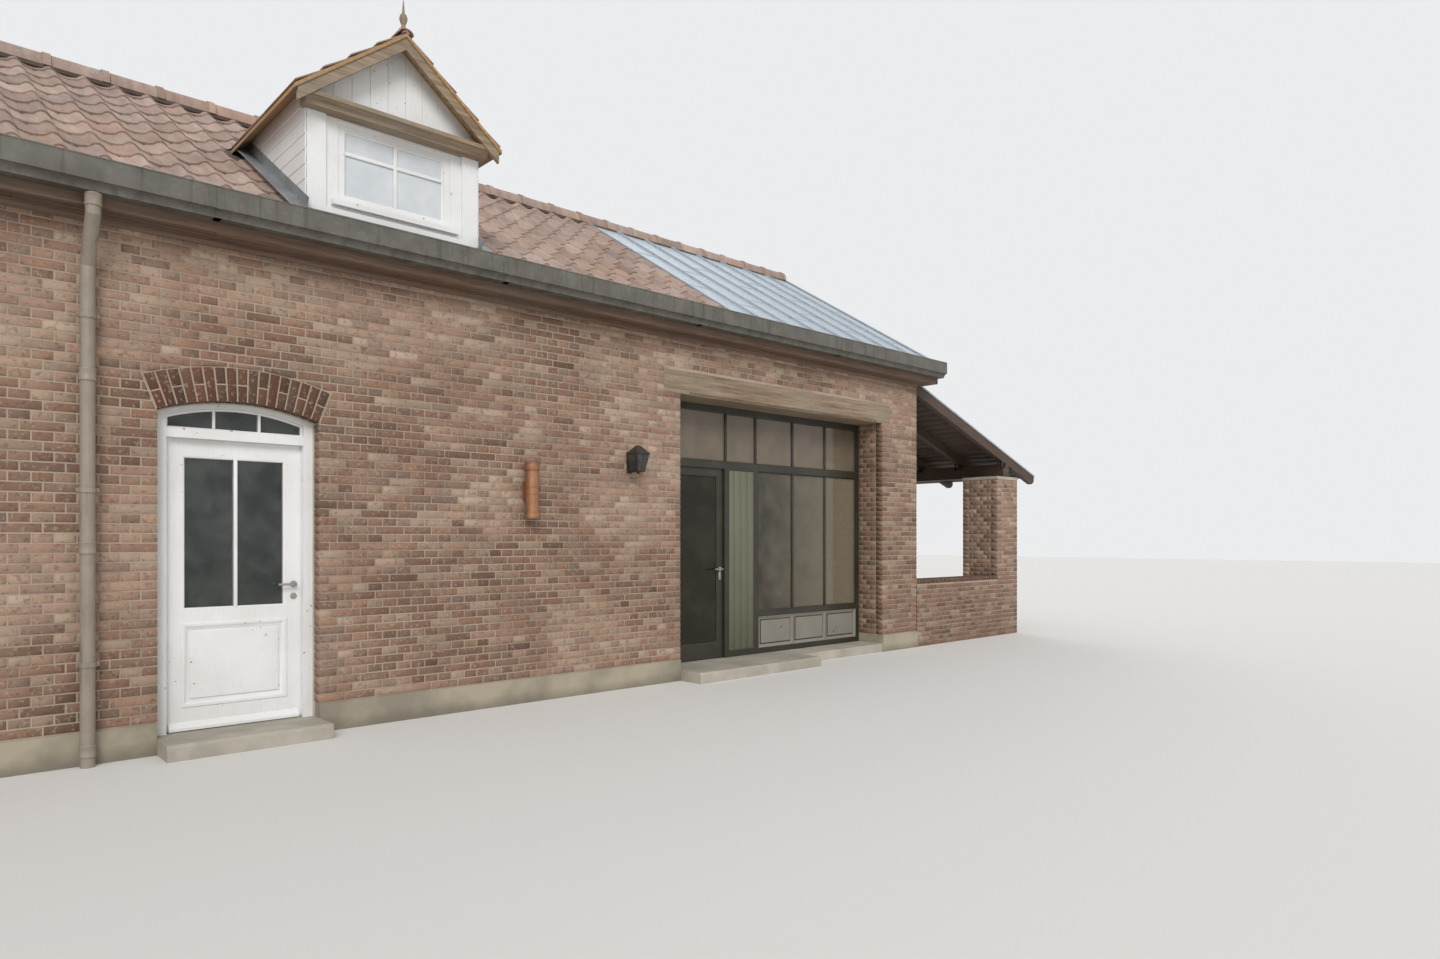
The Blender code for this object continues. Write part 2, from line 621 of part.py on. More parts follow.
def add_handle(name, leaf, x, lever_way, outer, inner, material, carrier):
    """A lever handle on both faces of a leaf, on one spindle that passes through it."""
    height = HANDLE_HEIGHT
    cut(leaf, rod((x, outer - HANDLE_HOLE_OVERRUN, height), (x, inner + HANDLE_HOLE_OVERRUN, height),
                  HANDLE_SPINDLE_RADIUS + SEAT_GAP, HANDLE_SPINDLE_SIDES), carrier)
    ends = (outer - SEAT_GAP - HANDLE_STAND_OFF, inner + SEAT_GAP + HANDLE_STAND_OFF)
    spindle = rod((x, ends[0], height), (x, ends[1], height), HANDLE_SPINDLE_RADIUS,
                  HANDLE_SPINDLE_SIDES)
    handle = add_piece(name, spindle, material, carrier, smooth=True)
    for face, way in ((outer - SEAT_GAP, -1), (inner + SEAT_GAP, 1)):
        join(handle, rod((x, face, height), (x, face + way * HANDLE_ROSE_THICKNESS, height),
                         HANDLE_ROSE_RADIUS, HANDLE_ROSE_SIDES), carrier)
        lever = face + way * HANDLE_STAND_OFF
        join(handle, rod((x - lever_way * HANDLE_LEVER_RADIUS, lever, height),
                         (x + lever_way * HANDLE_LEVER_LENGTH, lever, height),
                         HANDLE_LEVER_RADIUS, HANDLE_LEVER_SIDES), carrier)


def build_front_door(white, glass, steel):
    """Arched frame with a fanlight, and the half-glazed leaf that opens inwards on its left edge."""
    left = LEFT + DOOR_FROM_LEFT
    right = left + DOOR_OPENING_WIDTH
    outer = FACE + DOOR_REVEAL
    inner = outer + DOOR_FRAME_DEPTH
    base = FLOOR_LEVEL + SEAT_GAP
    head = segment_arc(left + SEAT_GAP, right - SEAT_GAP, DOOR_SPRING_HEIGHT - SEAT_GAP,
                       DOOR_ARCH_RISE - SEAT_GAP, DOOR_ARCH_STEPS)
    outline = [(right - SEAT_GAP, base), (left + SEAT_GAP, base)] + head
    frame = add_piece("door_frame", swept(outline, "Y", outer, inner), white)

    clear_left, clear_right = left + DOOR_JAMB, right - DOOR_JAMB
    cut(frame, block((clear_left, outer - CUT_MARGIN, base - CUT_MARGIN),
                     (clear_right, inner + CUT_MARGIN, DOOR_LEAF_HEAD)))
    rebate_left = clear_left - DOOR_STOP_OVERLAP
    rebate_right = clear_right + DOOR_STOP_OVERLAP
    rebate_top = DOOR_LEAF_HEAD + DOOR_STOP_OVERLAP
    cut(frame, block((rebate_left, outer + DOOR_STOP_DEPTH, base - CUT_MARGIN),
                     (rebate_right, inner + CUT_MARGIN, rebate_top)))
    light_bottom = rebate_top + DOOR_TRANSOM_HEIGHT
    light_spring = DOOR_SPRING_HEIGHT - FANLIGHT_SPRING_DROP
    light_rise = DOOR_ARCH_RISE - FANLIGHT_RISE_DROP
    light = [(clear_right, light_bottom), (clear_left, light_bottom)]
    light += segment_arc(clear_left, clear_right, light_spring, light_rise, DOOR_ARCH_STEPS)
    cut(frame, swept(light, "Y", outer - CUT_MARGIN, inner + CUT_MARGIN))
    pane = [(clear_right - SEAT_GAP, light_bottom + SEAT_GAP),
            (clear_left + SEAT_GAP, light_bottom + SEAT_GAP)]
    pane += segment_arc(clear_left + SEAT_GAP, clear_right - SEAT_GAP, light_spring - SEAT_GAP,
                        light_rise - SEAT_GAP, DOOR_ARCH_STEPS)
    middle = (outer + inner) / 2
    add_piece("fanlight_glass", swept(pane, "Y", middle - DOOR_GLASS_THICKNESS / 2,
                                      middle + DOOR_GLASS_THICKNESS / 2), glass)

    leaf_left = rebate_left + MOVING_GAP
    leaf_right = rebate_right - FREE_EDGE_GAP
    leaf_low = base + MOVING_GAP
    leaf_high = rebate_top - MOVING_GAP
    leaf_outer = inner - DOOR_LEAF_THICKNESS
    axis = (leaf_left - HINGE_AXIS_OFF_EDGE, inner + HINGE_AXIS_OFF_FACE)
    hinge = group("front_door_hinge", (axis[0], axis[1], base))
    leaf = add_piece("front_door", block((leaf_left, leaf_outer, leaf_low),
                                         (leaf_right, inner, leaf_high)), white, hinge)
    glass_left, glass_right = leaf_left + DOOR_STILE, leaf_right - DOOR_STILE
    glass_top = leaf_high - DOOR_TOP_RAIL
    cut(leaf, block((glass_left, leaf_outer - CUT_MARGIN, DOOR_GLASS_BOTTOM),
                    (glass_right, inner + CUT_MARGIN, glass_top)), hinge)
    panel_low = leaf_low + DOOR_PANEL_BOTTOM_RAIL
    panel_high = DOOR_GLASS_BOTTOM - DOOR_PANEL_TOP_RAIL
    for face, way in ((leaf_outer, -1), (inner, 1)):
        floor = face - way * DOOR_PANEL_RECESS
        low, high = sorted((floor, face + way * CUT_MARGIN))
        cut(leaf, block((glass_left, low, panel_low), (glass_right, high, panel_high)), hinge)
        low, high = sorted((floor - way * DOOR_PANEL_RECESS / 2, floor + way * DOOR_PANEL_FIELD_RISE))
        join(leaf, block((glass_left + DOOR_PANEL_FIELD_INSET, low, panel_low + DOOR_PANEL_FIELD_INSET),
                         (glass_right - DOOR_PANEL_FIELD_INSET, high,
                          panel_high - DOOR_PANEL_FIELD_INSET)), hinge)
    drip = [(leaf_outer + DOOR_PANEL_RECESS, leaf_low), (leaf_outer - DOOR_DRIP_PROUD, leaf_low),
            (leaf_outer - DOOR_DRIP_PROUD, leaf_low + DOOR_DRIP_NOSE),
            (leaf_outer, leaf_low + DOOR_DRIP_HEIGHT),
            (leaf_outer + DOOR_PANEL_RECESS, leaf_low + DOOR_DRIP_HEIGHT)]
    join(leaf, swept(drip, "X", clear_left + DOOR_DRIP_END_GAP, clear_right - DOOR_DRIP_END_GAP), hinge)
    middle = (leaf_outer + inner) / 2
    add_piece("front_door_glass", block(
        (glass_left + SEAT_GAP, middle - DOOR_GLASS_THICKNESS / 2, DOOR_GLASS_BOTTOM + SEAT_GAP),
        (glass_right - SEAT_GAP, middle + DOOR_GLASS_THICKNESS / 2, glass_top - SEAT_GAP)), glass, hinge)
    add_hinges(frame, leaf, axis, leaf_low, leaf_high, hinge)
    add_handle("front_door_handle", leaf, leaf_right - HANDLE_FROM_EDGE, -1, leaf_outer, inner,
               steel, hinge)


def build_entrance(dark, pale, glass, steel):
    """Glazed screen set back in the wall: a glazed leaf, a painted panel, a side light and top light."""
    left = LEFT + ENTRANCE_FROM_LEFT
    right = left + ENTRANCE_WIDTH
    outer = FACE + ENTRANCE_REVEAL
    inner = outer + ENTRANCE_FRAME_DEPTH
    base = FLOOR_LEVEL + SEAT_GAP
    top = ENTRANCE_HEIGHT
    frame = add_piece("entrance_frame", block((left + SEAT_GAP, outer, base),
                                              (right - SEAT_GAP, inner, top)), dark)
    door_left = left + ENTRANCE_JAMB
    door_right = door_left + ENTRANCE_DOOR_CLEAR_WIDTH
    panel_left = door_right + ENTRANCE_JAMB
    panel_right = panel_left + ENTRANCE_PANEL_WIDTH
    side_left = panel_right + ENTRANCE_JAMB
    side_right = right - ENTRANCE_JAMB
    upper_low = ENTRANCE_TRANSOM_BOTTOM + DOOR_STOP_OVERLAP + ENTRANCE_RAIL
    upper_high = top - ENTRANCE_RAIL
    sill = base + ENTRANCE_RAIL
    through = (outer - CUT_MARGIN, inner + CUT_MARGIN)
    cut(frame, block((door_left, through[0], base - CUT_MARGIN),
                     (door_right, through[1], ENTRANCE_TRANSOM_BOTTOM)))
    rebate_left = door_left - DOOR_STOP_OVERLAP
    rebate_right = door_right + DOOR_STOP_OVERLAP
    rebate_top = ENTRANCE_TRANSOM_BOTTOM + DOOR_STOP_OVERLAP
    cut(frame, block((rebate_left, outer + ENTRANCE_STOP_DEPTH, base - CUT_MARGIN),
                     (rebate_right, through[1], rebate_top)))
    cut(frame, block((panel_left, through[0], sill), (panel_right, through[1],
                                                      ENTRANCE_TRANSOM_BOTTOM)))
    cut(frame, block((side_left, through[0], ENTRANCE_LOW_PANEL_TOP),
                     (side_right, through[1], ENTRANCE_TRANSOM_BOTTOM)))
    cut(frame, block((door_left, through[0], upper_low), (side_right, through[1], upper_high)))
    for low, high in ((through[0], outer + ENTRANCE_LOW_PANEL_RECESS),
                      (inner - ENTRANCE_LOW_PANEL_RECESS, through[1])):
        cut(frame, block((side_left, low, sill), (side_right, high,
                                                  ENTRANCE_LOW_PANEL_TOP - ENTRANCE_RAIL)))

    middle = (outer + inner) / 2
    half_pane = DOOR_GLASS_THICKNESS / 2
    half_panel = ENTRANCE_PANEL_THICKNESS / 2
    for name, low, high, half, material in (
            ("entrance_panel", (panel_left, sill), (panel_right, ENTRANCE_TRANSOM_BOTTOM),
             half_panel, pale),
            ("entrance_side_glass", (side_left, ENTRANCE_LOW_PANEL_TOP),
             (side_right, ENTRANCE_TRANSOM_BOTTOM), half_pane, glass),
            ("entrance_top_glass", (door_left, upper_low), (side_right, upper_high),
             half_pane, glass)):
        add_piece(name, block((low[0] + SEAT_GAP, middle - half, low[1] + SEAT_GAP),
                              (high[0] - SEAT_GAP, middle + half, high[1] - SEAT_GAP)), material)

    leaf_left = rebate_left + MOVING_GAP
    leaf_right = rebate_right - FREE_EDGE_GAP
    leaf_low = base + MOVING_GAP
    leaf_high = rebate_top - MOVING_GAP
    leaf_outer = inner - ENTRANCE_LEAF_THICKNESS
    axis = (leaf_left - HINGE_AXIS_OFF_EDGE, inner + HINGE_AXIS_OFF_FACE)
    hinge = group("entrance_door_hinge", (axis[0], axis[1], base))
    leaf = add_piece("entrance_door", block((leaf_left, leaf_outer, leaf_low),
                                            (leaf_right, inner, leaf_high)), dark, hinge)
    glass_low = (leaf_left + ENTRANCE_STILE, leaf_low + ENTRANCE_BOTTOM_RAIL)
    glass_high = (leaf_right - ENTRANCE_STILE, leaf_high - ENTRANCE_STILE)
    cut(leaf, block((glass_low[0], leaf_outer - CUT_MARGIN, glass_low[1]),
                    (glass_high[0], inner + CUT_MARGIN, glass_high[1])), hinge)
    middle = (leaf_outer + inner) / 2
    add_piece("entrance_door_glass", block(
        (glass_low[0] + SEAT_GAP, middle - half_pane, glass_low[1] + SEAT_GAP),
        (glass_high[0] - SEAT_GAP, middle + half_pane, glass_high[1] - SEAT_GAP)), glass, hinge)
    add_hinges(frame, leaf, axis, leaf_low, leaf_high, hinge)
    add_handle("entrance_door_handle", leaf, leaf_right - HANDLE_FROM_EDGE, -1, leaf_outer, inner,
               steel, hinge)


def slope_section(side, near, far, drop_top, drop_bottom):
    """Section of one roof layer on one side of the ridge, between two distances from it."""
    return [(side * near, roof_height(near) - drop_top), (side * far, roof_height(far) - drop_top),
            (side * far, roof_height(far) - drop_bottom), (side * near, roof_height(near) - drop_bottom)]


def pantile_top(left, right):
    """Section across the tiles' rolls and pans: pairs of a place along X and a depth below the top."""
    columns = round((right - left) / PANTILE_WIDTH)
    pitch = (right - left) / columns
    roll = pitch * PANTILE_ROLL_SHARE
    points = []
    for column in range(columns):
        start = left + pitch * column
        for step in range(PANTILE_ROLL_STEPS):
            share = step / PANTILE_ROLL_STEPS
            points.append((start + roll * share, PANTILE_ROLL_RISE * (1 - sin(pi * share))))
        for step in range(PANTILE_PAN_STEPS):
            share = step / PANTILE_PAN_STEPS
            points.append((start + roll + (pitch - roll) * share,
                           PANTILE_ROLL_RISE + PANTILE_PAN_DEPTH * sin(pi * share)))
    points.append((right, PANTILE_ROLL_RISE))
    return points


def seamed_top(left, right):
    """Section across the sheet's bays and standing seams, with an upturned edge at each end."""
    bays = round((right - left) / SHEET_SEAM_SPACING)
    points = []
    for index in range(bays + 1):
        middle = left + (right - left) * index / bays
        low = max(middle - SHEET_SEAM_WIDTH / 2, left)
        high = min(middle + SHEET_SEAM_WIDTH / 2, right)
        if index > 0:
            points.append((low, SHEET_SEAM_HEIGHT))
        points += [(low, 0), (high, 0)]
        if index < bays:
            points.append((high, SHEET_SEAM_HEIGHT))
    return points


def covering(side, top, near, far):
    """Run a covering with a shaped top down one slope, between two distances from the ridge."""
    outline = [(x, -depth / cos(ROOF_PITCH)) for x, depth in top]
    outline += [(top[-1][0], -COVERING_DROP), (top[0][0], -COVERING_DROP)]
    bm = swept(outline, "Y", side * near, side * far)
    for vert in bm.verts:
        vert.co.z += roof_height(vert.co.y)
    return bm


def dormer_hole():
    """The hole through the front slope's deck under the dormer."""
    half = DORMER_WIDTH / 2 - DORMER_CHEEK_THICKNESS
    eaves_height = dormer_underside(half)
    back = -(ROOF_APEX - eaves_height) / tan(ROOF_PITCH)
    front = DORMER_FACE + DORMER_FRONT_THICKNESS
    return block((DORMER_X - half, front, 0), (DORMER_X + half, back, ROOF_APEX + CUT_MARGIN))


def tile_fields(left, right, far):
    """The front slope's tiles round the dormer: a name and the box that each field fills."""
    half = DORMER_WIDTH / 2 + SEAT_GAP
    inner = half - SEAT_GAP
    face = DORMER_FACE - DORMER_POST_PROUD - SEAT_GAP
    top = ROOF_APEX + CUT_MARGIN
    return (("roof_tiles_front", (left, -far, 0), (DORMER_X - half, 0, top)),
            ("roof_tiles_right_of_dormer", (DORMER_X + half, -far, 0), (right, 0, top)),
            ("roof_tiles_below_dormer", (DORMER_X - inner, -far, 0), (DORMER_X + inner, face, top)),
            ("roof_tiles_behind_dormer", (DORMER_X - inner, face, 0), (DORMER_X + inner, 0, top)))


def dormer_body():
    """The dormer's walls and roof with a seat gap round them, for letting it into the tiles."""
    half = DORMER_WIDTH / 2 + SEAT_GAP
    reach = DORMER_ROOF_WIDTH / 2 + SEAT_GAP
    flank = [(half, 0), (half, dormer_underside(half) - SEAT_GAP),
             (reach, dormer_underside(reach) - SEAT_GAP),
             (reach, dormer_underside(reach) + DORMER_ROOF_THICKNESS + SEAT_GAP)]
    outline = [(DORMER_X + x, z) for x, z in flank] + [(DORMER_X, DORMER_APEX + SEAT_GAP)]
    outline += [(DORMER_X - x, z) for x, z in reversed(flank)]
    return swept(outline, "Y", DORMER_FACE - DORMER_POST_PROUD - SEAT_GAP, 0)


def build_roof(tile, sheet, timber, dark_timber):
    """Deck with rafters, the two coverings, the ridge, the eaves boxes and the barge boards."""
    verge_left, verge_right = LEFT - VERGE_OVERHANG, RIGHT + VERGE_OVERHANG
    deck_left = verge_left + BARGE_THICKNESS + SEAT_GAP
    deck_right = verge_right - BARGE_THICKNESS - SEAT_GAP
    split = LEFT + SHEET_ROOF_FROM_LEFT
    deck_far = -EAVES - EAVES_BOARD_THICKNESS - SEAT_GAP
    covering_far = -EAVES + COVERING_DRIP
    half_gap = SEAT_GAP / 2
    bays = round((INNER_RIGHT - INNER_LEFT) / RAFTER_SPACING)
    for side, end in ((-1, "front"), (1, "rear")):
        deck = add_piece("roof_frame_" + end, swept(
            slope_section(side, half_gap, deck_far, COVERING_DROP + SEAT_GAP, DECK_DROP), "X",
            deck_left, deck_right), timber)
        for index in range(bays + 1):
            first = INNER_LEFT + RAFTER_WIDTH / 2 + SEAT_GAP
            last = INNER_RIGHT - RAFTER_WIDTH / 2 - SEAT_GAP
            middle = first + (last - first) * index / bays
            section = slope_section(side, half_gap, deck_far, DECK_DROP - DECK_THICKNESS / 2, RAFTER_DROP)
            join(deck, swept(section, "X", middle - RAFTER_WIDTH / 2, middle + RAFTER_WIDTH / 2))
        add_piece("roof_sheet_" + end, covering(
            side, seamed_top(split + half_gap, verge_right), half_gap, covering_far), sheet)
        soffit_bottom = SOFFIT_TOP - EAVES_BOARD_THICKNESS
        fascia_top = roof_height(EAVES) - COVERING_DROP - SEAT_GAP
        fascia_in = EAVES + EAVES_BOARD_THICKNESS
        box_section = [(FACE - SEAT_GAP, soffit_bottom), (EAVES, soffit_bottom), (EAVES, fascia_top),
                       (fascia_in, fascia_top), (fascia_in, SOFFIT_TOP), (FACE - SEAT_GAP, SOFFIT_TOP)]
        box_section = [(-side * y, z) for y, z in box_section]
        add_piece("eaves_box_" + end, swept(box_section, "X", deck_left, deck_right), dark_timber)
        if side < 0:
            cut(deck, dormer_hole())

    tile_top = pantile_top(verge_left, split - half_gap)
    add_piece("roof_tiles_rear", covering(1, tile_top, half_gap, covering_far), tile)
    reach = covering_far + CUT_MARGIN
    for name, low, high in tile_fields(verge_left - CUT_MARGIN, split + CUT_MARGIN, reach):
        tiles = add_piece(name, covering(-1, tile_top, half_gap, covering_far), tile)
        keep(tiles, block(low, high))
        cut(tiles, dormer_body())

    foot = RIDGE_TILE_WIDTH / 2
    foot_height = roof_height(foot) + SEAT_GAP
    cap = segment_arc(-foot, foot, foot_height, RIDGE_TILE_RISE + ROOF_APEX - foot_height,
                      RIDGE_ARC_STEPS)
    cap.append((0, ROOF_APEX + SEAT_GAP))
    add_piece("ridge_tiles", swept(cap, "X", verge_left, verge_right), tile, smooth=True)

    top_drop = COVERING_DROP + SEAT_GAP
    bottom_drop = top_drop + BARGE_DEPTH / cos(ROOF_PITCH)
    soffit_bottom = SOFFIT_TOP - EAVES_BOARD_THICKNESS
    outline = [(EAVES, soffit_bottom), (EAVES, roof_height(EAVES) - top_drop), (0, ROOF_APEX - top_drop),
               (-EAVES, roof_height(EAVES) - top_drop), (-EAVES, soffit_bottom), (-FACE, soffit_bottom),
               (-FACE, roof_height(FACE) - bottom_drop), (0, ROOF_APEX - bottom_drop),
               (FACE, roof_height(FACE) - bottom_drop), (FACE, soffit_bottom)]
    for name, start in (("barge_board_left", verge_left),
                        ("barge_board_right", verge_right - BARGE_THICKNESS)):
        add_piece(name, swept(outline, "X", start, start + BARGE_THICKNESS), dark_timber)


def build_gutters(zinc):
    """Box gutters with a cove below, and a downpipe with a swan neck and wall clips on each."""
    start, end = LEFT - VERGE_OVERHANG, RIGHT + VERGE_OVERHANG
    x = LEFT + DOWNPIPE_FROM_LEFT
    wall_line = FACE - DOWNPIPE_WALL_GAP - DOWNPIPE_RADIUS
    outlet = GUTTER_BACK - (GUTTER_WIDTH - GUTTER_COVE) / 2
    top = GUTTER_BOTTOM - SEAT_GAP
    floor = GUTTER_BOTTOM + GUTTER_COVE + GUTTER_BOARD
    notch = EAVES - COVERING_DRIP - GUTTER_BACK_GAP
    below = COVERING_DROP + GUTTER_BACK_GAP
    for side, name in ((1, "front"), (-1, "rear")):
        outline = [(GUTTER_BACK, GUTTER_BOTTOM), (GUTTER_BACK, GUTTER_RIM), (GUTTER_FRONT, GUTTER_RIM)]
        outline += arc((GUTTER_FRONT, GUTTER_BOTTOM), GUTTER_COVE, pi / 2, 0, GUTTER_COVE_STEPS)
        channel = rectangle(GUTTER_FRONT + GUTTER_BOARD, GUTTER_BACK - GUTTER_BOARD, floor,
                            GUTTER_RIM + CUT_MARGIN)
        under_tiles = [(notch, roof_height(notch) - below), (FACE, roof_height(FACE) - below),
                       (FACE, ROOF_APEX), (notch, ROOF_APEX)]
        outline, channel, under_tiles = ([(side * y, z) for y, z in points]
                                         for points in (outline, channel, under_tiles))
        gutter = add_piece("gutter_" + name, swept(outline, "X", start, end), zinc)
        cut(gutter, swept(channel, "X", start + GUTTER_BOARD, end - GUTTER_BOARD))
        cut(gutter, swept(under_tiles, "X", start - CUT_MARGIN, end + CUT_MARGIN))
        route = [(x, side * outlet, top), (x, side * outlet, top - DOWNPIPE_NECK),
                 (x, side * wall_line, top - DOWNPIPE_NECK - DOWNPIPE_SWEEP), (x, side * wall_line, 0)]
        spout = add_piece("downpipe_" + name, pipe(route, DOWNPIPE_RADIUS, DOWNPIPE_SIDES), zinc,
                          smooth=True)
        last_clip = top - DOWNPIPE_NECK - DOWNPIPE_SWEEP - DOWNPIPE_CLIP_BELOW_SWEEP
        rise = (last_clip - DOWNPIPE_CLIP_ABOVE_GROUND) / (DOWNPIPE_CLIP_COUNT - 1)
        for index in range(DOWNPIPE_CLIP_COUNT):
            height = DOWNPIPE_CLIP_ABOVE_GROUND + rise * index
            low, high = sorted((side * wall_line, side * (FACE - SEAT_GAP)))
            clip = DOWNPIPE_RADIUS + DOWNPIPE_CLIP_PROUD
            join(spout, rod((x, side * wall_line, height),
                            (x, side * wall_line, height + DOWNPIPE_CLIP_HEIGHT), clip, DOWNPIPE_SIDES))
            join(spout, block((x - DOWNPIPE_RADIUS / 2, low, height),
                              (x + DOWNPIPE_RADIUS / 2, high, height + DOWNPIPE_CLIP_HEIGHT)))


def roof_plane_tool():
    """Everything below the top of the front slope's deck, for cutting the dormer to it."""
    far = -FACE + CUT_MARGIN
    outline = [(-far, roof_height(far) - COVERING_DROP), (0, ROOF_APEX - COVERING_DROP), (0, 0), (-far, 0)]
    return swept(outline, "X", DORMER_X - DORMER_WIDTH, DORMER_X + DORMER_WIDTH)


def build_dormer(white, tile, timber, glass):
    """White gabled dormer, cut to the main slope, with a window, a pediment and a finial."""
    front, back = DORMER_FACE, DORMER_FACE + DORMER_FRONT_THICKNESS
    half = DORMER_WIDTH / 2
    low = roof_height(front - DORMER_POST_PROUD) - DORMER_CUT_DEPTH
    outline = [(DORMER_X - half, low), (DORMER_X + half, low),
               (DORMER_X + half, dormer_underside(half) - SEAT_GAP),
               (DORMER_X, dormer_underside(0) - SEAT_GAP),
               (DORMER_X - half, dormer_underside(half) - SEAT_GAP)]
    face = add_piece("dormer_front", swept(outline, "Y", front, back), white)
    half_window = DORMER_WINDOW_WIDTH / 2
    window_low = (DORMER_X - half_window, DORMER_WINDOW_BOTTOM)
    window_high = (DORMER_X + half_window, DORMER_WINDOW_TOP)
    for side in (-1, 1):
        near, far = sorted((DORMER_X + side * half, DORMER_X + side * (half - DORMER_POST_WIDTH)))
        join(face, block((near, front - DORMER_POST_PROUD, low),
                         (far, back, DORMER_CORNICE_BOTTOM - SEAT_GAP)))
    join(face, block((DORMER_X - half, front - DORMER_POST_PROUD, low),
                     (DORMER_X + half, back, roof_height(front) + DORMER_BASE_RISE)))
    join(face, block((window_low[0] - DORMER_SILL_REACH, front - DORMER_SILL_PROUD,
                      window_low[1] - DORMER_SILL_HEIGHT),
                     (window_high[0] + DORMER_SILL_REACH, back, window_low[1])))
    cut(face, roof_plane_tool())
    cut(face, block((window_low[0], front - CUT_MARGIN, window_low[1]),
                    (window_high[0], back + CUT_MARGIN, window_high[1])))

    frame_front = (front + back - DORMER_FRAME_DEPTH) / 2
    frame_back = frame_front + DORMER_FRAME_DEPTH
    frame = add_piece("dormer_window_frame", block(
        (window_low[0] + SEAT_GAP, frame_front, window_low[1] + SEAT_GAP),
        (window_high[0] - SEAT_GAP, frame_back, window_high[1] - SEAT_GAP)), white)
    pane_low = (window_low[0] + DORMER_FRAME_BAR, window_low[1] + DORMER_FRAME_BAR)
    pane_high = (window_high[0] - DORMER_FRAME_BAR, window_high[1] - DORMER_FRAME_BAR)
    cut(frame, block((pane_low[0], front - CUT_MARGIN, pane_low[1]),
                     (pane_high[0], back + CUT_MARGIN, pane_high[1])))
    middle = (front + back) / 2
    add_piece("dormer_glass", block(
        (pane_low[0] + SEAT_GAP, middle - DORMER_GLASS_THICKNESS / 2, pane_low[1] + SEAT_GAP),
        (pane_high[0] - SEAT_GAP, middle + DORMER_GLASS_THICKNESS / 2, pane_high[1] - SEAT_GAP)), glass)

    cheek_top = dormer_underside(half) - SEAT_GAP
    cheek_back = -(ROOF_APEX - COVERING_DROP - cheek_top) / tan(ROOF_PITCH) + DORMER_CUT_DEPTH
    for name, outside, inside in (("dormer_cheek_left", -half, -half + DORMER_CHEEK_THICKNESS),
                                  ("dormer_cheek_right", half - DORMER_CHEEK_THICKNESS, half)):
        cheek = add_piece(name, block((DORMER_X + outside, back + SEAT_GAP, low),
                                      (DORMER_X + inside, cheek_back, cheek_top)), white)
        cut(cheek, roof_plane_tool())

    reach = DORMER_ROOF_WIDTH / 2
    roof_front = front - DORMER_ROOF_OVERHANG
    for name, side in (("dormer_roof_left", -1), ("dormer_roof_right", 1)):
        slope = [(SEAT_GAP / 2, 0), (reach, 0), (reach, DORMER_ROOF_THICKNESS),
                 (SEAT_GAP / 2, DORMER_ROOF_THICKNESS)]
        slope = [(DORMER_X + side * x, dormer_underside(x) + lift) for x, lift in slope]
        panel = add_piece(name, swept(slope, "Y", roof_front, 0), tile)
        cut(panel, roof_plane_tool())

    board_reach = reach - DORMER_VERGE_INSET
    drop = SEAT_GAP
    depth = drop + DORMER_VERGE_DEPTH
    board = [(-board_reach, dormer_underside(board_reach) - drop), (0, dormer_underside(0) - drop),
             (board_reach, dormer_underside(board_reach) - drop),
             (board_reach, dormer_underside(board_reach) - depth), (0, dormer_underside(0) - depth),
             (-board_reach, dormer_underside(board_reach) - depth)]
    board = [(DORMER_X + x, z) for x, z in board]
    verge_front = roof_front + DORMER_VERGE_SETBACK
    verge = add_piece("dormer_verge", swept(board, "Y", verge_front,
                                            verge_front + DORMER_VERGE_THICKNESS), timber)
    half_cornice = DORMER_CORNICE_WIDTH / 2
    nose = verge_front + DORMER_VERGE_SETBACK
    cornice = [(front - SEAT_GAP, DORMER_CORNICE_BOTTOM),
               (front - SEAT_GAP, DORMER_CORNICE_BOTTOM + DORMER_CORNICE_HEIGHT),
               (nose, DORMER_CORNICE_BOTTOM + DORMER_CORNICE_HEIGHT)]
    cornice += arc((nose, DORMER_CORNICE_BOTTOM), DORMER_CORNICE_COVE, pi / 2, 0, GUTTER_COVE_STEPS)
    join(verge, swept(cornice, "X", DORMER_X - half_cornice, DORMER_X + half_cornice))

    profile = [(FINIAL_WIDTH / 2 * wide, FINIAL_HEIGHT * high) for wide, high in FINIAL_SHAPE]
    profile = [(0, 0)] + profile + [(0, FINIAL_HEIGHT)]
    finial = turned(profile, FINIAL_SIDES)
    bmesh.ops.translate(finial, verts=finial.verts,
                        vec=(DORMER_X, roof_front + FINIAL_SETBACK, DORMER_APEX + SEAT_GAP))
    add_piece("dormer_finial", finial, timber, smooth=True)


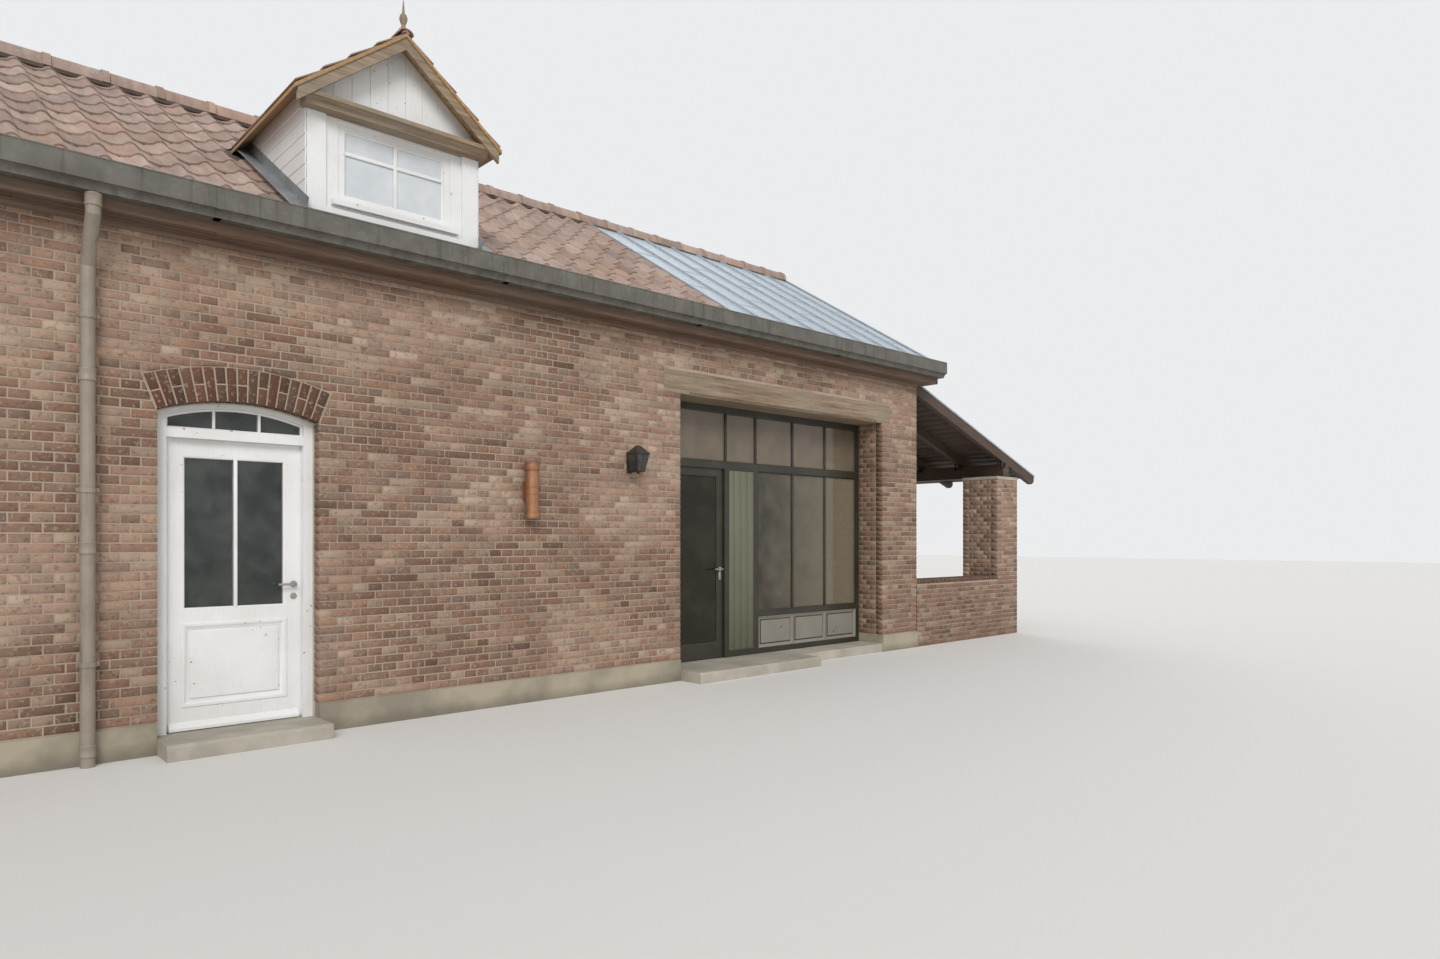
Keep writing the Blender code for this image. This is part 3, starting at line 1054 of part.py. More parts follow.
def build_canopy(brick, dark_timber, sheet):
    """Lean-to canopy on the right gable, on rafters, a beam and two piers, with a low wall."""
    low, high = FACE + CANOPY_SIDE_INSET, -FACE - CANOPY_SIDE_INSET
    wall = SEAT_GAP

    def layer(start, end, drop_top, drop_bottom):
        return [(RIGHT + start, canopy_top(start) - drop_top), (RIGHT + end, canopy_top(end) - drop_top),
                (RIGHT + end, canopy_top(end) - drop_bottom),
                (RIGHT + start, canopy_top(start) - drop_bottom)]

    add_piece("canopy_roof", swept(layer(wall, CANOPY_REACH, 0, CANOPY_ROOF_THICKNESS), "Y", low, high),
              sheet)
    top = CANOPY_ROOF_THICKNESS + SEAT_GAP
    bottom = top + CANOPY_RAFTER_DEPTH
    beam_middle = PIER_FROM_WALL + PIER_SIZE / 2
    beam_top = canopy_top(beam_middle + CANOPY_BEAM_WIDTH / 2) - bottom + CANOPY_BEAM_NOTCH
    beam_low = beam_top - CANOPY_BEAM_DEPTH
    frame = add_piece("canopy_frame", block(
        (RIGHT + beam_middle - CANOPY_BEAM_WIDTH / 2, low, beam_low),
        (RIGHT + beam_middle + CANOPY_BEAM_WIDTH / 2, high, beam_top)), dark_timber)
    pitch = (high - low - CANOPY_RAFTER_WIDTH) / (CANOPY_RAFTER_COUNT - 1)
    for index in range(CANOPY_RAFTER_COUNT):
        start = low + pitch * index
        rafter = layer(wall, CANOPY_REACH - CANOPY_RAFTER_SETBACK, top, bottom)
        tail = rafter[2]
        rafter[2:3] = [(tail[0], tail[1] + CANOPY_RAFTER_NIP),
                       (tail[0] - CANOPY_RAFTER_NIP,
                        tail[1] + CANOPY_RAFTER_NIP * CANOPY_FALL / CANOPY_REACH)]
        join(frame, swept(rafter, "Y", start, start + CANOPY_RAFTER_WIDTH))
    for name, y in (("canopy_pier_front", FACE), ("canopy_pier_rear", -FACE - PIER_SIZE)):
        add_piece(name, block((RIGHT + PIER_FROM_WALL, y, 0),
                              (RIGHT + PIER_FROM_WALL + PIER_SIZE, y + PIER_SIZE,
                               beam_low - SEAT_GAP)), brick)
    add_piece("canopy_low_wall", block((RIGHT + PLINTH_PROUD + SEAT_GAP, FACE, 0),
                                       (RIGHT + PIER_FROM_WALL - SEAT_GAP, FACE + LOW_WALL_THICKNESS,
                                        LOW_WALL_HEIGHT)), brick)


def build_wall_fittings(copper, iron):
    """A wall lamp that shines up and down, and a small lantern beside the entrance."""
    x, z = LEFT + LAMP_FROM_LEFT, LAMP_CENTRE_HEIGHT
    half = LAMP_LENGTH / 2
    y = FACE - LAMP_STAND_OFF - LAMP_RADIUS
    lamp = add_piece("wall_lamp", rod((x, y, z - half), (x, y, z + half), LAMP_RADIUS, LAMP_SIDES),
                     copper, smooth=True)
    for way in (-1, 1):
        end = z + way * half
        join(lamp, rod((x, y, end - way * LAMP_COLLAR_HEIGHT), (x, y, end),
                       LAMP_RADIUS + LAMP_COLLAR_PROUD, LAMP_SIDES))
        cut(lamp, rod((x, y, end - way * LAMP_HOLLOW), (x, y, end + way * LAMP_HOLLOW),
                      LAMP_RADIUS - LAMP_SHEET, LAMP_SIDES))
    plate_front = FACE - SEAT_GAP - LAMP_PLATE_THICKNESS
    join(lamp, block((x - LAMP_PLATE_WIDTH / 4, y, z - LAMP_PLATE_HEIGHT / 4),
                     (x + LAMP_PLATE_WIDTH / 4, plate_front, z + LAMP_PLATE_HEIGHT / 4)))
    join(lamp, block((x - LAMP_PLATE_WIDTH / 2, plate_front - SEAT_GAP, z - LAMP_PLATE_HEIGHT / 2),
                     (x + LAMP_PLATE_WIDTH / 2, FACE - SEAT_GAP, z + LAMP_PLATE_HEIGHT / 2)))

    x, top = LANTERN_FROM_LEFT + LEFT, LANTERN_TOP_HEIGHT
    y = FACE - LANTERN_STAND_OFF - LANTERN_WIDTH / 2
    eaves = top - LANTERN_CAP_HEIGHT
    lantern = add_piece("wall_lantern", tapered(x, y, eaves - LANTERN_BODY_HEIGHT, eaves,
                                                LANTERN_BASE_WIDTH, LANTERN_WIDTH), iron)
    join(lantern, tapered(x, y, eaves - LANTERN_ARM / 2, top, LANTERN_WIDTH + LANTERN_ARM, LANTERN_KNOB))
    plate_front = FACE - SEAT_GAP - LANTERN_PLATE_THICKNESS
    for height in (eaves + LANTERN_ARM, eaves - LANTERN_BODY_HEIGHT + LANTERN_ARM):
        join(lantern, block((x - LANTERN_ARM / 2, y, height - LANTERN_ARM),
                            (x + LANTERN_ARM / 2, plate_front, height)))
    middle = eaves - LANTERN_BODY_HEIGHT / 2 + LANTERN_ARM / 2
    join(lantern, block((x - LANTERN_PLATE_WIDTH / 2, plate_front - SEAT_GAP,
                         middle - LANTERN_BODY_HEIGHT / 2 - LANTERN_ARM),
                        (x + LANTERN_PLATE_WIDTH / 2, FACE - SEAT_GAP,
                         middle + LANTERN_BODY_HEIGHT / 2 + LANTERN_ARM)))


def main():
    """Build the whole house."""
    clear_scene()
    brick = finish("mottled_brick", (0.30, 0.20, 0.15), 0.9)
    arch_brick = finish("dark_red_brick", (0.22, 0.12, 0.08), 0.9)
    stone = finish("pale_stone", (0.45, 0.43, 0.38), 0.8)
    oak = finish("weathered_oak", (0.16, 0.11, 0.07), 0.8)
    timber = finish("sawn_timber", (0.35, 0.24, 0.14), 0.8)
    dark_timber = finish("dark_brown_boards", (0.07, 0.05, 0.04), 0.7)
    tile = finish("clay_tile", (0.36, 0.22, 0.17), 0.8)
    sheet = finish("pale_grey_sheet", (0.60, 0.60, 0.60), 0.4, 0.6)
    zinc = finish("weathered_zinc", (0.20, 0.19, 0.17), 0.5, 0.7)
    white = finish("white_paint", (0.75, 0.75, 0.73), 0.4)
    dark = finish("dark_frame_paint", (0.06, 0.06, 0.05), 0.4)
    pale = finish("grey_green_paint", (0.30, 0.31, 0.27), 0.5)
    glass = finish("window_glass", (0.10, 0.12, 0.12), 0.05, 0.0, 0.35)
    steel = finish("satin_steel", (0.55, 0.55, 0.55), 0.35, 1.0)
    copper = finish("aged_copper", (0.45, 0.22, 0.12), 0.4, 0.9)
    iron = finish("dark_iron", (0.05, 0.05, 0.05), 0.5, 0.8)

    build_front_wall(brick, arch_brick, oak)
    build_other_walls(brick)
    build_floors(stone, timber)
    build_front_door(white, glass, steel)
    build_entrance(dark, pale, glass, steel)
    build_roof(tile, sheet, timber, dark_timber)
    build_gutters(zinc)
    build_dormer(white, tile, oak, glass)
    build_canopy(brick, dark_timber, dark_timber)
    build_wall_fittings(copper, iron)


main()
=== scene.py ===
"""Looks of the long brick farmhouse wing with its dormer, arched door, glazed entrance and canopy.

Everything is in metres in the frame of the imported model: X along the front, -Y out of the front, +Z up.
"""

import copy
import json
import logging
import math
import random
from dataclasses import dataclass, field
from enum import Enum
from typing import Sequence

import bmesh
import bpy
import numpy as np
from mathutils import Matrix, Vector


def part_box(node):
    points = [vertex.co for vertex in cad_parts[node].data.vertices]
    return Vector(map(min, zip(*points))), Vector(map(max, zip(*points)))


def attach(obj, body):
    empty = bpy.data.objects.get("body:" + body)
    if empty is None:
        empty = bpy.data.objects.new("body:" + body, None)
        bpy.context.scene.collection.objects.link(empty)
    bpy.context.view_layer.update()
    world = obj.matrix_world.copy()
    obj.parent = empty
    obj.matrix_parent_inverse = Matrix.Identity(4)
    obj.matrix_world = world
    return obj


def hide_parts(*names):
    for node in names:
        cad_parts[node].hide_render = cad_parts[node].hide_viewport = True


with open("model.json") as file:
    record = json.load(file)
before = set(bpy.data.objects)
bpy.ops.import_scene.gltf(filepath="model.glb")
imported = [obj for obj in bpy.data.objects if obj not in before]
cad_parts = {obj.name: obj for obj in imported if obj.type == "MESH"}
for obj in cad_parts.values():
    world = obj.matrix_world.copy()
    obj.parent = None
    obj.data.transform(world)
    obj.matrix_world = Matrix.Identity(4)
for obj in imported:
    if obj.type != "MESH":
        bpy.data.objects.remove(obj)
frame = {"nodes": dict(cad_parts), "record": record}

LOG = logging.getLogger("farmhouse")
HOUSE = "house"
FRONT_LEAF = "front_door_leaf"
ENTRANCE_LEAF = "entrance_door_leaf"
FRONT_FIELDS = ("roof_tiles_front", "roof_tiles_right_of_dormer", "roof_tiles_below_dormer",
                "roof_tiles_behind_dormer")
MAIN_PITCH = math.radians(31.5)
DORMER_PITCH = math.radians(39)
EAST, WEST = Vector((1, 0, 0)), Vector((-1, 0, 0))
NORTH, SOUTH = Vector((0, 1, 0)), Vector((0, -1, 0))
UP = Vector((0, 0, 1))
Colour = str
Pair = tuple[float, float]
Cut = tuple[Vector, Vector]
Oblong = tuple[float, float, float, float]
BMesh = bmesh.types.BMesh
Material = bpy.types.Material


def srgb(code: str) -> tuple[float, ...]:
    """Turn a screen colour such as "#a4948a" into the linear values a shader takes."""
    shown = [int(code[place:place + 2], 16) / 255 for place in (1, 3, 5)]
    return tuple(c / 12.92 if c <= 0.04045 else ((c + 0.055) / 1.055) ** 2.4 for c in shown)


class Wire:
    """One shader socket. Arithmetic on it adds Math nodes."""

    def __init__(self, graph: "Graph", socket: bpy.types.NodeSocket) -> None:
        """Keep the socket and the graph it belongs to."""
        self.graph = graph
        self.socket = socket

    def math(self, operation: str, *values: "Wire | float") -> "Wire":
        """Add a Math node on some values."""
        return self.graph.add("ShaderNodeMath", "Value", dict(enumerate(values)), operation=operation)

    def __add__(self, other: "Wire | float") -> "Wire":
        """Sum."""
        return self.math("ADD", self, other)

    def __sub__(self, other: "Wire | float") -> "Wire":
        """Difference."""
        return self.math("SUBTRACT", self, other)

    def __rsub__(self, other: float) -> "Wire":
        """Difference, with the number first."""
        return self.math("SUBTRACT", other, self)

    def __mul__(self, other: "Wire | float") -> "Wire":
        """Product."""
        return self.math("MULTIPLY", self, other)

    def above(self, level: float, width: float) -> "Wire":
        """A soft mask of where this value passes a level.

        Args:
            level: The middle of the step.
            width: How wide the step is.

        Returns:
            0 below the step and 1 above it.
        """
        inputs = {"Value": self, "From Min": level - width / 2, "From Max": level + width / 2}
        return self.graph.add("ShaderNodeMapRange", "Result", inputs, clamp=True)

    def below(self, level: float, width: float) -> "Wire":
        """A soft mask of where this value stays under a level."""
        return 1.0 - self.above(level, width)


class Graph:
    """The node tree of one material, with its Principled shader."""

    def __init__(self, name: str) -> None:
        """Make the material and find its shader."""
        self.material = bpy.data.materials.new(name)
        self.material.use_nodes = True
        self.tree = self.material.node_tree
        self.shader = self.tree.nodes["Principled BSDF"]
        self.place = self.add("ShaderNodeTexCoord", "Object")

    def add(self, kind: str, output: str | int, inputs: dict | None = None, **settings: object) -> Wire:
        """Add any node.

        Args:
            kind: The node's type.
            output: The output that is wanted.
            inputs: Values or links by socket name or number.
            settings: The node's own settings.

        Returns:
            The wanted output.
        """
        node = self.tree.nodes.new(kind)
        for key, value in settings.items():
            setattr(node, key, value)
        for key, value in (inputs or {}).items():
            self.feed(node.inputs[key], value)
        return Wire(self, node.outputs[output])

    def feed(self, socket: bpy.types.NodeSocket, value: "Wire | float | Sequence[float] | Colour") -> None:
        """Set a socket, or link it."""
        if isinstance(value, Wire):
            self.tree.links.new(value.socket, socket)
        elif socket.type == "RGBA":
            socket.default_value = (*srgb(value), 1.0)
        else:
            socket.default_value = value

    def set(self, **values: "Wire | float | Colour") -> None:
        """Set sockets of the shader, with _ for a blank in their names."""
        for key, value in values.items():
            self.feed(self.shader.inputs[key.replace("_", " ")], value)

    def axis(self, name: str) -> Wire:
        """One coordinate of the place on the object."""
        return self.add("ShaderNodeSeparateXYZ", name, {"Vector": self.place})

    def attribute(self, name: str) -> Wire:
        """A number kept on the mesh."""
        return self.add("ShaderNodeAttribute", "Fac", attribute_name=name)

    def stretched(self, scale: Sequence[float], shift: float) -> Wire:
        """The place on the object, stretched along its axes and shifted."""
        inputs = {"Vector": self.place, "Scale": tuple(scale), "Location": (shift, shift, shift)}
        return self.add("ShaderNodeMapping", "Vector", inputs)

    def noise(self, scale: float, detail: float = 3.0, stretch: Sequence[float] = (1, 1, 1),
              shift: float = 0.0, roughness: float = 0.55) -> Wire:
        """Cloudy noise.

        Args:
            scale: Clouds to a metre.
            detail: Octaves.
            stretch: Scale along each axis.
            shift: Moves the pattern, so that two of them differ.
            roughness: How strong the finer octaves are.

        Returns:
            A value round 0.5.
        """
        inputs = {"Vector": self.stretched(stretch, shift), "Scale": scale, "Detail": detail,
                  "Roughness": roughness}
        return self.add("ShaderNodeTexNoise", "Fac", inputs)

    def cells(self, scale: float, shift: float = 0.0) -> Wire:
        """Distance to the nearest of many scattered points."""
        inputs = {"Vector": self.stretched((1, 1, 1), shift), "Scale": scale}
        return self.add("ShaderNodeTexVoronoi", "Distance", inputs)

    def mix(self, factor: "Wire | float", first: "Wire | Colour", second: "Wire | Colour",
            blend: str = "MIX") -> Wire:
        """Mix two colours.

        Args:
            factor: Share of the second colour.
            first: The colour at 0.
            second: The colour at 1.
            blend: How the second goes over the first.

        Returns:
            The mixed colour.
        """
        inputs = {0: factor, 6: first, 7: second}
        return self.add("ShaderNodeMix", 2, inputs, data_type="RGBA", blend_type=blend, clamp_factor=True)

    def ramp(self, value: Wire, stops: Sequence[tuple[float, Colour]]) -> Wire:
        """Turn a value into a colour.

        Args:
            value: From 0 to 1.
            stops: Places and colours.

        Returns:
            The colour, blended between the stops.
        """
        wire = self.add("ShaderNodeValToRGB", "Color", {"Fac": value})
        band = wire.socket.node.color_ramp
        while len(band.elements) < len(stops):
            band.elements.new(1.0)
        for element, (place, colour) in zip(band.elements, stops):
            element.position = place
            element.color = (*srgb(colour), 1.0)
        return wire

    def bump(self, height: Wire, depth: float, strength: float) -> None:
        """Give the shader a bumpy surface.

        Args:
            height: The relief, from 0 to 1.
            depth: What 1 stands for, in metres.
            strength: How much of it shows.
        """
        inputs = {"Height": height, "Distance": depth, "Strength": strength}
        self.set(Normal=self.add("ShaderNodeBump", "Normal", inputs))


@dataclass(frozen=True)
class Finish:
    """A finish with its name. Each kind mixes its own colours."""

    name: str

    def make(self) -> Material:
        """Build the material."""
        graph = Graph(self.name)
        self.paint(graph)
        return graph.material

    def paint(self, g: Graph) -> None:
        """Set the shader's colour, roughness and relief."""
        raise NotImplementedError(self.name)


@dataclass(frozen=True)
class Masonry(Finish):
    """Bricks that each have a tone of their own, in broad zones of lighter and darker ones."""

    tones: tuple[tuple[float, Colour], ...]
    zone_dark: Colour
    zone_light: Colour

    def paint(self, g: Graph) -> None:
        """Mix the tones, the zones, damp near the ground, burnt spots and grain."""
        tone, shade = g.attribute("tone"), g.attribute("shade")
        zones = g.noise(0.55, 4.0, (1, 1, 1.5), 3.1)
        damp = (g.axis("Z") * -0.55 + 0.55 + (g.noise(1.6, 3.0, shift=8.0) - 0.5) * 0.9).above(0.5, 0.5)
        colour = g.mix(zones.above(0.47, 0.14) * 0.5, g.ramp(tone, self.tones), self.zone_dark, "MULTIPLY")
        colour = g.mix(zones.below(0.43, 0.10) * 0.35, colour, self.zone_light)
        colour = g.mix(damp * 0.45, colour, "#b0a092", "MULTIPLY")
        grain = g.noise(160.0, 4.0)
        burnt = g.noise(28.0, 3.0, shift=5.0)
        pale = g.noise(45.0, 2.0, shift=2.0)
        colour = g.mix(burnt.above(0.60, 0.10) * 0.45, colour, "#604a40")
        colour = g.mix(pale.above(0.63, 0.08) * 0.35, colour, "#c4b29e")
        colour = g.mix(grain.above(0.5, 0.5) * 0.25, colour, "#786e68", "MULTIPLY")
        colour = g.mix(shade * 0.22, colour, "#847870", "MULTIPLY")
        g.set(Base_Color=colour, Roughness=grain * 0.15 + 0.80)
        g.bump(grain * 0.5 + burnt * 0.5, 0.0030, 0.7)


@dataclass(frozen=True)
class WallBody(Finish):
    """Lime mortar behind the bricks, a grey plinth band and white plaster inside the room."""

    mortar: Colour
    plinth: Colour
    plaster: Colour
    plinth_top: float
    room_low: Pair
    room_high: Pair
    edge: float = 0.002

    def paint(self, g: Graph) -> None:
        """Tell plinth, mortar and plaster apart by where they lie."""
        x, y, z = g.axis("X"), g.axis("Y"), g.axis("Z")
        inside = (x.above(self.room_low[0], self.edge) * x.below(self.room_high[0], self.edge)
                  * y.above(self.room_low[1], self.edge) * y.below(self.room_high[1], self.edge))
        sand = g.noise(220.0, 3.0)
        patches = g.noise(2.2, 4.0, shift=4.0)
        mortar = g.mix(sand.above(0.5, 0.4) * 0.5, self.mortar, "#8c7f71")
        mortar = g.mix(patches.above(0.52, 0.15) * 0.5, mortar, "#807265")
        plinth = g.mix(patches.above(0.50, 0.20) * 0.6, self.plinth, "#767064")
        splash = (z * -6.0 + 1.0 + patches * 0.5).above(0.9, 0.5) * 0.5
        plinth = g.mix(splash, plinth, "#605a4e")
        outside = g.mix(z.below(self.plinth_top, self.edge), mortar, plinth)
        g.set(Base_Color=g.mix(inside, outside, self.plaster), Roughness=0.92)
        g.bump(sand * 0.6 + patches * 0.6, 0.0030, 0.6)


@dataclass(frozen=True)
class FiredTile(Finish):
    """Clay tiles, each with its own tone, weathered and spotted with lichen."""

    tones: tuple[tuple[float, Colour], ...]
    run: tuple[float, float, float] = (3.0, 0.6, 0.6)
    contrast: float = 0.30

    def paint(self, g: Graph) -> None:
        """Mix the tones, broad weathering, streaks and lichen."""
        broad = g.noise(0.9, 4.0, shift=6.0)
        streak = g.noise(5.0, 4.0, self.run)
        fine = g.noise(90.0, 3.0)
        lichen = g.cells(38.0, 1.5).below(0.26, 0.08) * g.noise(3.0, 2.0, shift=9.0).above(0.54, 0.08)
        colour = g.mix(broad.above(0.50, 0.18) * 0.40, g.ramp(g.attribute("tone"), self.tones),
                       "#baaaa0")
        colour = g.mix(streak.above(0.50, 0.40) * 0.42, colour, "#8c7c72", "MULTIPLY")
        colour = g.mix(lichen * 0.75, colour, "#bebca8")
        colour = g.mix(fine.above(0.5, 0.5) * 0.25, colour, "#82746c", "MULTIPLY")
        colour = g.mix(g.attribute("shade") * self.contrast, colour, "#786c64", "MULTIPLY")
        g.set(Base_Color=colour, Roughness=fine * 0.2 + 0.72)
        g.bump(fine * 0.6 + streak * 0.4, 0.0025, 0.7)


@dataclass(frozen=True)
class Paint(Finish):
    """Brushed paint on wood, with soiling, small chips and a trace of the brush."""

    colour: Colour
    soil: Colour
    under: Colour
    roughness: float
    wear: float

    def paint(self, g: Graph) -> None:
        """Mix the coat, its soiling and its chips."""
        cloud = g.noise(2.4, 4.0)
        brush = g.noise(9.0, 3.0, (14.0, 14.0, 1.0))
        spots = g.noise(26.0, 4.0, shift=4.0)
        chips = spots.above(0.72 - self.wear * 0.10, 0.02) * cloud.above(0.50, 0.10)
        colour = g.mix(cloud.above(0.52, 0.22) * 0.40, self.colour, self.soil)
        colour = g.mix(brush.above(0.58, 0.12) * 0.22, colour, self.soil)
        g.set(Base_Color=g.mix(chips, colour, self.under),
              Roughness=brush * 0.15 + self.roughness + chips * 0.3)
        g.bump(brush * 0.5 - chips * 0.5, 0.0012, 0.6)


@dataclass(frozen=True)
class Timber(Finish):
    """Bare or stained wood with its grain along one axis."""

    dark: Colour
    light: Colour
    weathered: Colour
    stretch: tuple[float, float, float]
    roughness: float = 0.75

    def paint(self, g: Graph) -> None:
        """Mix grain, pores and weathering."""
        grain = g.noise(5.0, 6.0, self.stretch, roughness=0.65)
        fine = g.noise(22.0, 4.0, self.stretch, 3.0)
        broad = g.noise(1.3, 3.0, shift=6.0)
        colour = g.mix(grain.above(0.5, 0.35), self.dark, self.light)
        colour = g.mix(broad.above(0.52, 0.2) * 0.45, colour, self.weathered)
        colour = g.mix(fine.below(0.40, 0.10) * 0.55, colour, self.dark)
        colour = g.mix(g.attribute("shade") * 0.30, colour, "#6e6862", "MULTIPLY")
        g.set(Base_Color=colour, Roughness=fine * 0.15 + self.roughness)
        g.bump(grain * 0.5 + fine * 0.5, 0.0020, 0.7)


@dataclass(frozen=True)
class Stone(Finish):
    """Pale stone, tooled and worn, darker where it is walked on."""

    colour: Colour
    vein: Colour
    tread: Colour

    def paint(self, g: Graph) -> None:
        """Mix veins, wear and pits."""
        cloud = g.noise(5.0, 5.0)
        pits = g.cells(150.0).below(0.22, 0.08) * g.noise(20.0, 2.0, shift=2.0).above(0.5, 0.1)
        grit = g.noise(130.0, 3.0, shift=7.0)
        colour = g.mix(cloud.above(0.5, 0.3), self.colour, self.vein)
        colour = g.mix(g.noise(1.7, 3.0, shift=5.0).above(0.53, 0.15) * 0.5, colour, self.tread)
        g.set(Base_Color=g.mix(pits * 0.6, colour, self.tread), Roughness=grit * 0.2 + 0.70)
        g.bump(grit * 0.5 + cloud * 0.4 - pits * 0.6, 0.0025, 0.7)


@dataclass(frozen=True)
class Metal(Finish):
    """Metal with a patina, from dull zinc to copper and painted iron."""

    colour: Colour
    patina: Colour
    streaks: Colour
    metallic: float
    roughness: float
    amount: float

    def paint(self, g: Graph) -> None:
        """Mix the bright metal, its patina and its streaks."""
        cloud = g.noise(6.0, 5.0)
        blotch = g.cells(24.0, 2.0).below(0.32, 0.3) * g.noise(3.0, 2.0).above(0.45, 0.2)
        scratch = g.noise(60.0, 2.0, (1.0, 1.0, 0.05), 3.0)
        runs = g.noise(9.0, 3.0, (2.0, 2.0, 0.25), 5.0).above(0.60, 0.12) * 0.45
        worn = (cloud.above(0.52, 0.3) * 0.7 + blotch * 0.3) * self.amount
        g.set(Base_Color=g.mix(runs, g.mix(worn, self.colour, self.patina), self.streaks),
              Metallic=(1.0 - worn * 0.6) * self.metallic,
              Roughness=worn * 0.25 + self.roughness + scratch * 0.08)
        g.bump(cloud * 0.6 + scratch * 0.3, 0.0012, 0.5)


@dataclass(frozen=True)
class Pane(Finish):
    """Window glass whose tint is partly painted light, standing for the shade of the room behind it and for
    reflections, with a faint waviness and some dust.

    The tint can turn darker towards -X as painted shade: fade holds the middle and the width of that change.
    """

    tint: Colour
    dust: Colour
    haze: float
    cover: float
    shine: float = 0.9
    darker: Colour | None = None
    fade: Pair = (0.0, 1.0)

    def paint(self, g: Graph) -> None:
        """Mix the tint, with its painted shade and reflection, and the dust, and let the rest show what is
        behind.
        """
        dirt = g.noise(5.0, 2.0, shift=3.0)
        tint = self.tint
        # Painted shade: the tint turns darker towards -X, where the opening lies in shade.
        if self.darker is not None:
            tint = g.mix(g.axis("X").above(*self.fade), self.darker, self.tint)
        g.set(Base_Color=g.mix(dirt.above(0.5, 0.4) * 0.4, tint, self.dust),
              Roughness=dirt.above(0.6, 0.2) * 0.05 + self.haze,
              Alpha=dirt.above(0.55, 0.3) * 0.10 + self.cover, IOR=1.52, Specular_IOR_Level=self.shine)
        g.bump(g.noise(3.5, 2.0), 0.004, 0.25)


@dataclass(frozen=True)
class Glow(Finish):
    """A frosted lens with a weak warm light behind it."""

    colour: Colour
    light: Colour
    strength: float

    def paint(self, g: Graph) -> None:
        """Mix the frost, and let it shine."""
        frost = g.noise(60.0, 3.0)
        g.set(Base_Color=g.mix(frost.above(0.5, 0.5) * 0.4, self.colour, "#aa8c6e"),
              Roughness=frost * 0.2 + 0.35, Emission_Color=g.mix(frost, self.light, self.colour),
              Emission_Strength=self.strength)
        g.bump(frost, 0.001, 0.4)


class Shape:
    """A small closed form that is copied many times, kept as arrays."""

    def __init__(self, bm: BMesh) -> None:
        """Read a bmesh round the origin into arrays and free it."""
        bmesh.ops.recalc_face_normals(bm, faces=bm.faces)
        bm.verts.index_update()
        self.points = np.array([v.co for v in bm.verts])
        self.loops = np.array([v.index for f in bm.faces for v in f.verts])
        self.sizes = np.array([len(f.verts) for f in bm.faces])
        bm.free()

    def stretched(self, stretch: Sequence[float]) -> np.ndarray:
        """Its points, with each half moved outwards along the form's own axes."""
        return self.points + np.sign(self.points) * np.array(stretch)

    def bent(self, points: np.ndarray) -> "Shape":
        """The same faces on other points."""
        other = copy.copy(self)
        other.points = points
        return other


class Swarm:
    """Many copies of small forms, joined into one mesh with a tone for each copy."""

    def __init__(self, seed: int) -> None:
        """Start with nothing in it, and with a seed that makes the tones the same on each run."""
        self.random = random.Random(seed)
        self.points: list[np.ndarray] = []
        self.loops: list[np.ndarray] = []
        self.sizes: list[np.ndarray] = []
        self.tones: list[np.ndarray] = []
        self.shades: list[np.ndarray] = []
        self.count = 0

    def add(self, shape: Shape, place: Matrix, stretch: Sequence[float] = (0.0, 0.0, 0.0)) -> None:
        """Add one copy.

        Args:
            shape: The form.
            place: Where it goes.
            stretch: How far each half is moved outwards along the form's own axes.
        """
        if place.determinant() < 0:
            raise ValueError("a mirrored copy would be inside out")
        points = shape.stretched(stretch) @ np.array(place.to_3x3()).T
        self.points.append(points + np.array(place.translation))
        self.loops.append(shape.loops + self.count)
        self.sizes.append(shape.sizes)
        self.count += len(points)
        self.tones.append(np.full(len(points), self.random.random()))
        self.shades.append(np.full(len(points), self.random.random()))

    def add_cut(self, points: Sequence[Vector], shape: Shape, cuts: Sequence[Cut]) -> None:
        """Add one copy of a form, cut along some planes and closed again.

        Args:
            points: The copy's points, in place.
            shape: The form, for its faces.
            cuts: Points on the planes with normals towards what is taken off.
        """
        bm = bmesh.new()
        verts = [bm.verts.new(p) for p in points]
        start = 0
        for size in shape.sizes:
            bm.faces.new([verts[i] for i in shape.loops[start:start + size]])
            start += size
        for cut in cuts:
            trim(bm, cut)
        if len(bm.faces) > 3:
            self.add(Shape(bm), Matrix.Identity(4))
        else:
            bm.free()

    def place(self, name: str, material: Material, slot: str, replaced: Sequence[str] = (),
              smooth: float | None = None) -> None:
        """Join the copies into one piece, with the attributes tone and shade.

        Args:
            name: The piece's name.
            material: Its finish.
            slot: The record's material slot; not used.
            replaced: The nodes it stands for.
            smooth: The angle in degrees below which edges are smooth, or None for flat faces.
        """
        mesh = bpy.data.meshes.new(name)
        loops, sizes = np.concatenate(self.loops), np.concatenate(self.sizes)
        mesh.vertices.add(self.count)
        mesh.vertices.foreach_set("co", np.concatenate(self.points).astype(np.float32).ravel())
        mesh.loops.add(len(loops))
        mesh.loops.foreach_set("vertex_index", loops.astype(np.int32))
        mesh.polygons.add(len(sizes))
        mesh.polygons.foreach_set("loop_start", (np.cumsum(sizes) - sizes).astype(np.int32))
        mesh.update(calc_edges=True)
        for key, values in (("tone", self.tones), ("shade", self.shades)):
            layer = mesh.attributes.new(key, "FLOAT", "POINT")
            layer.data.foreach_set("value", np.concatenate(values).astype(np.float32))
        mesh.validate()
        place_piece(name, mesh, material, HOUSE, replaced, smooth)


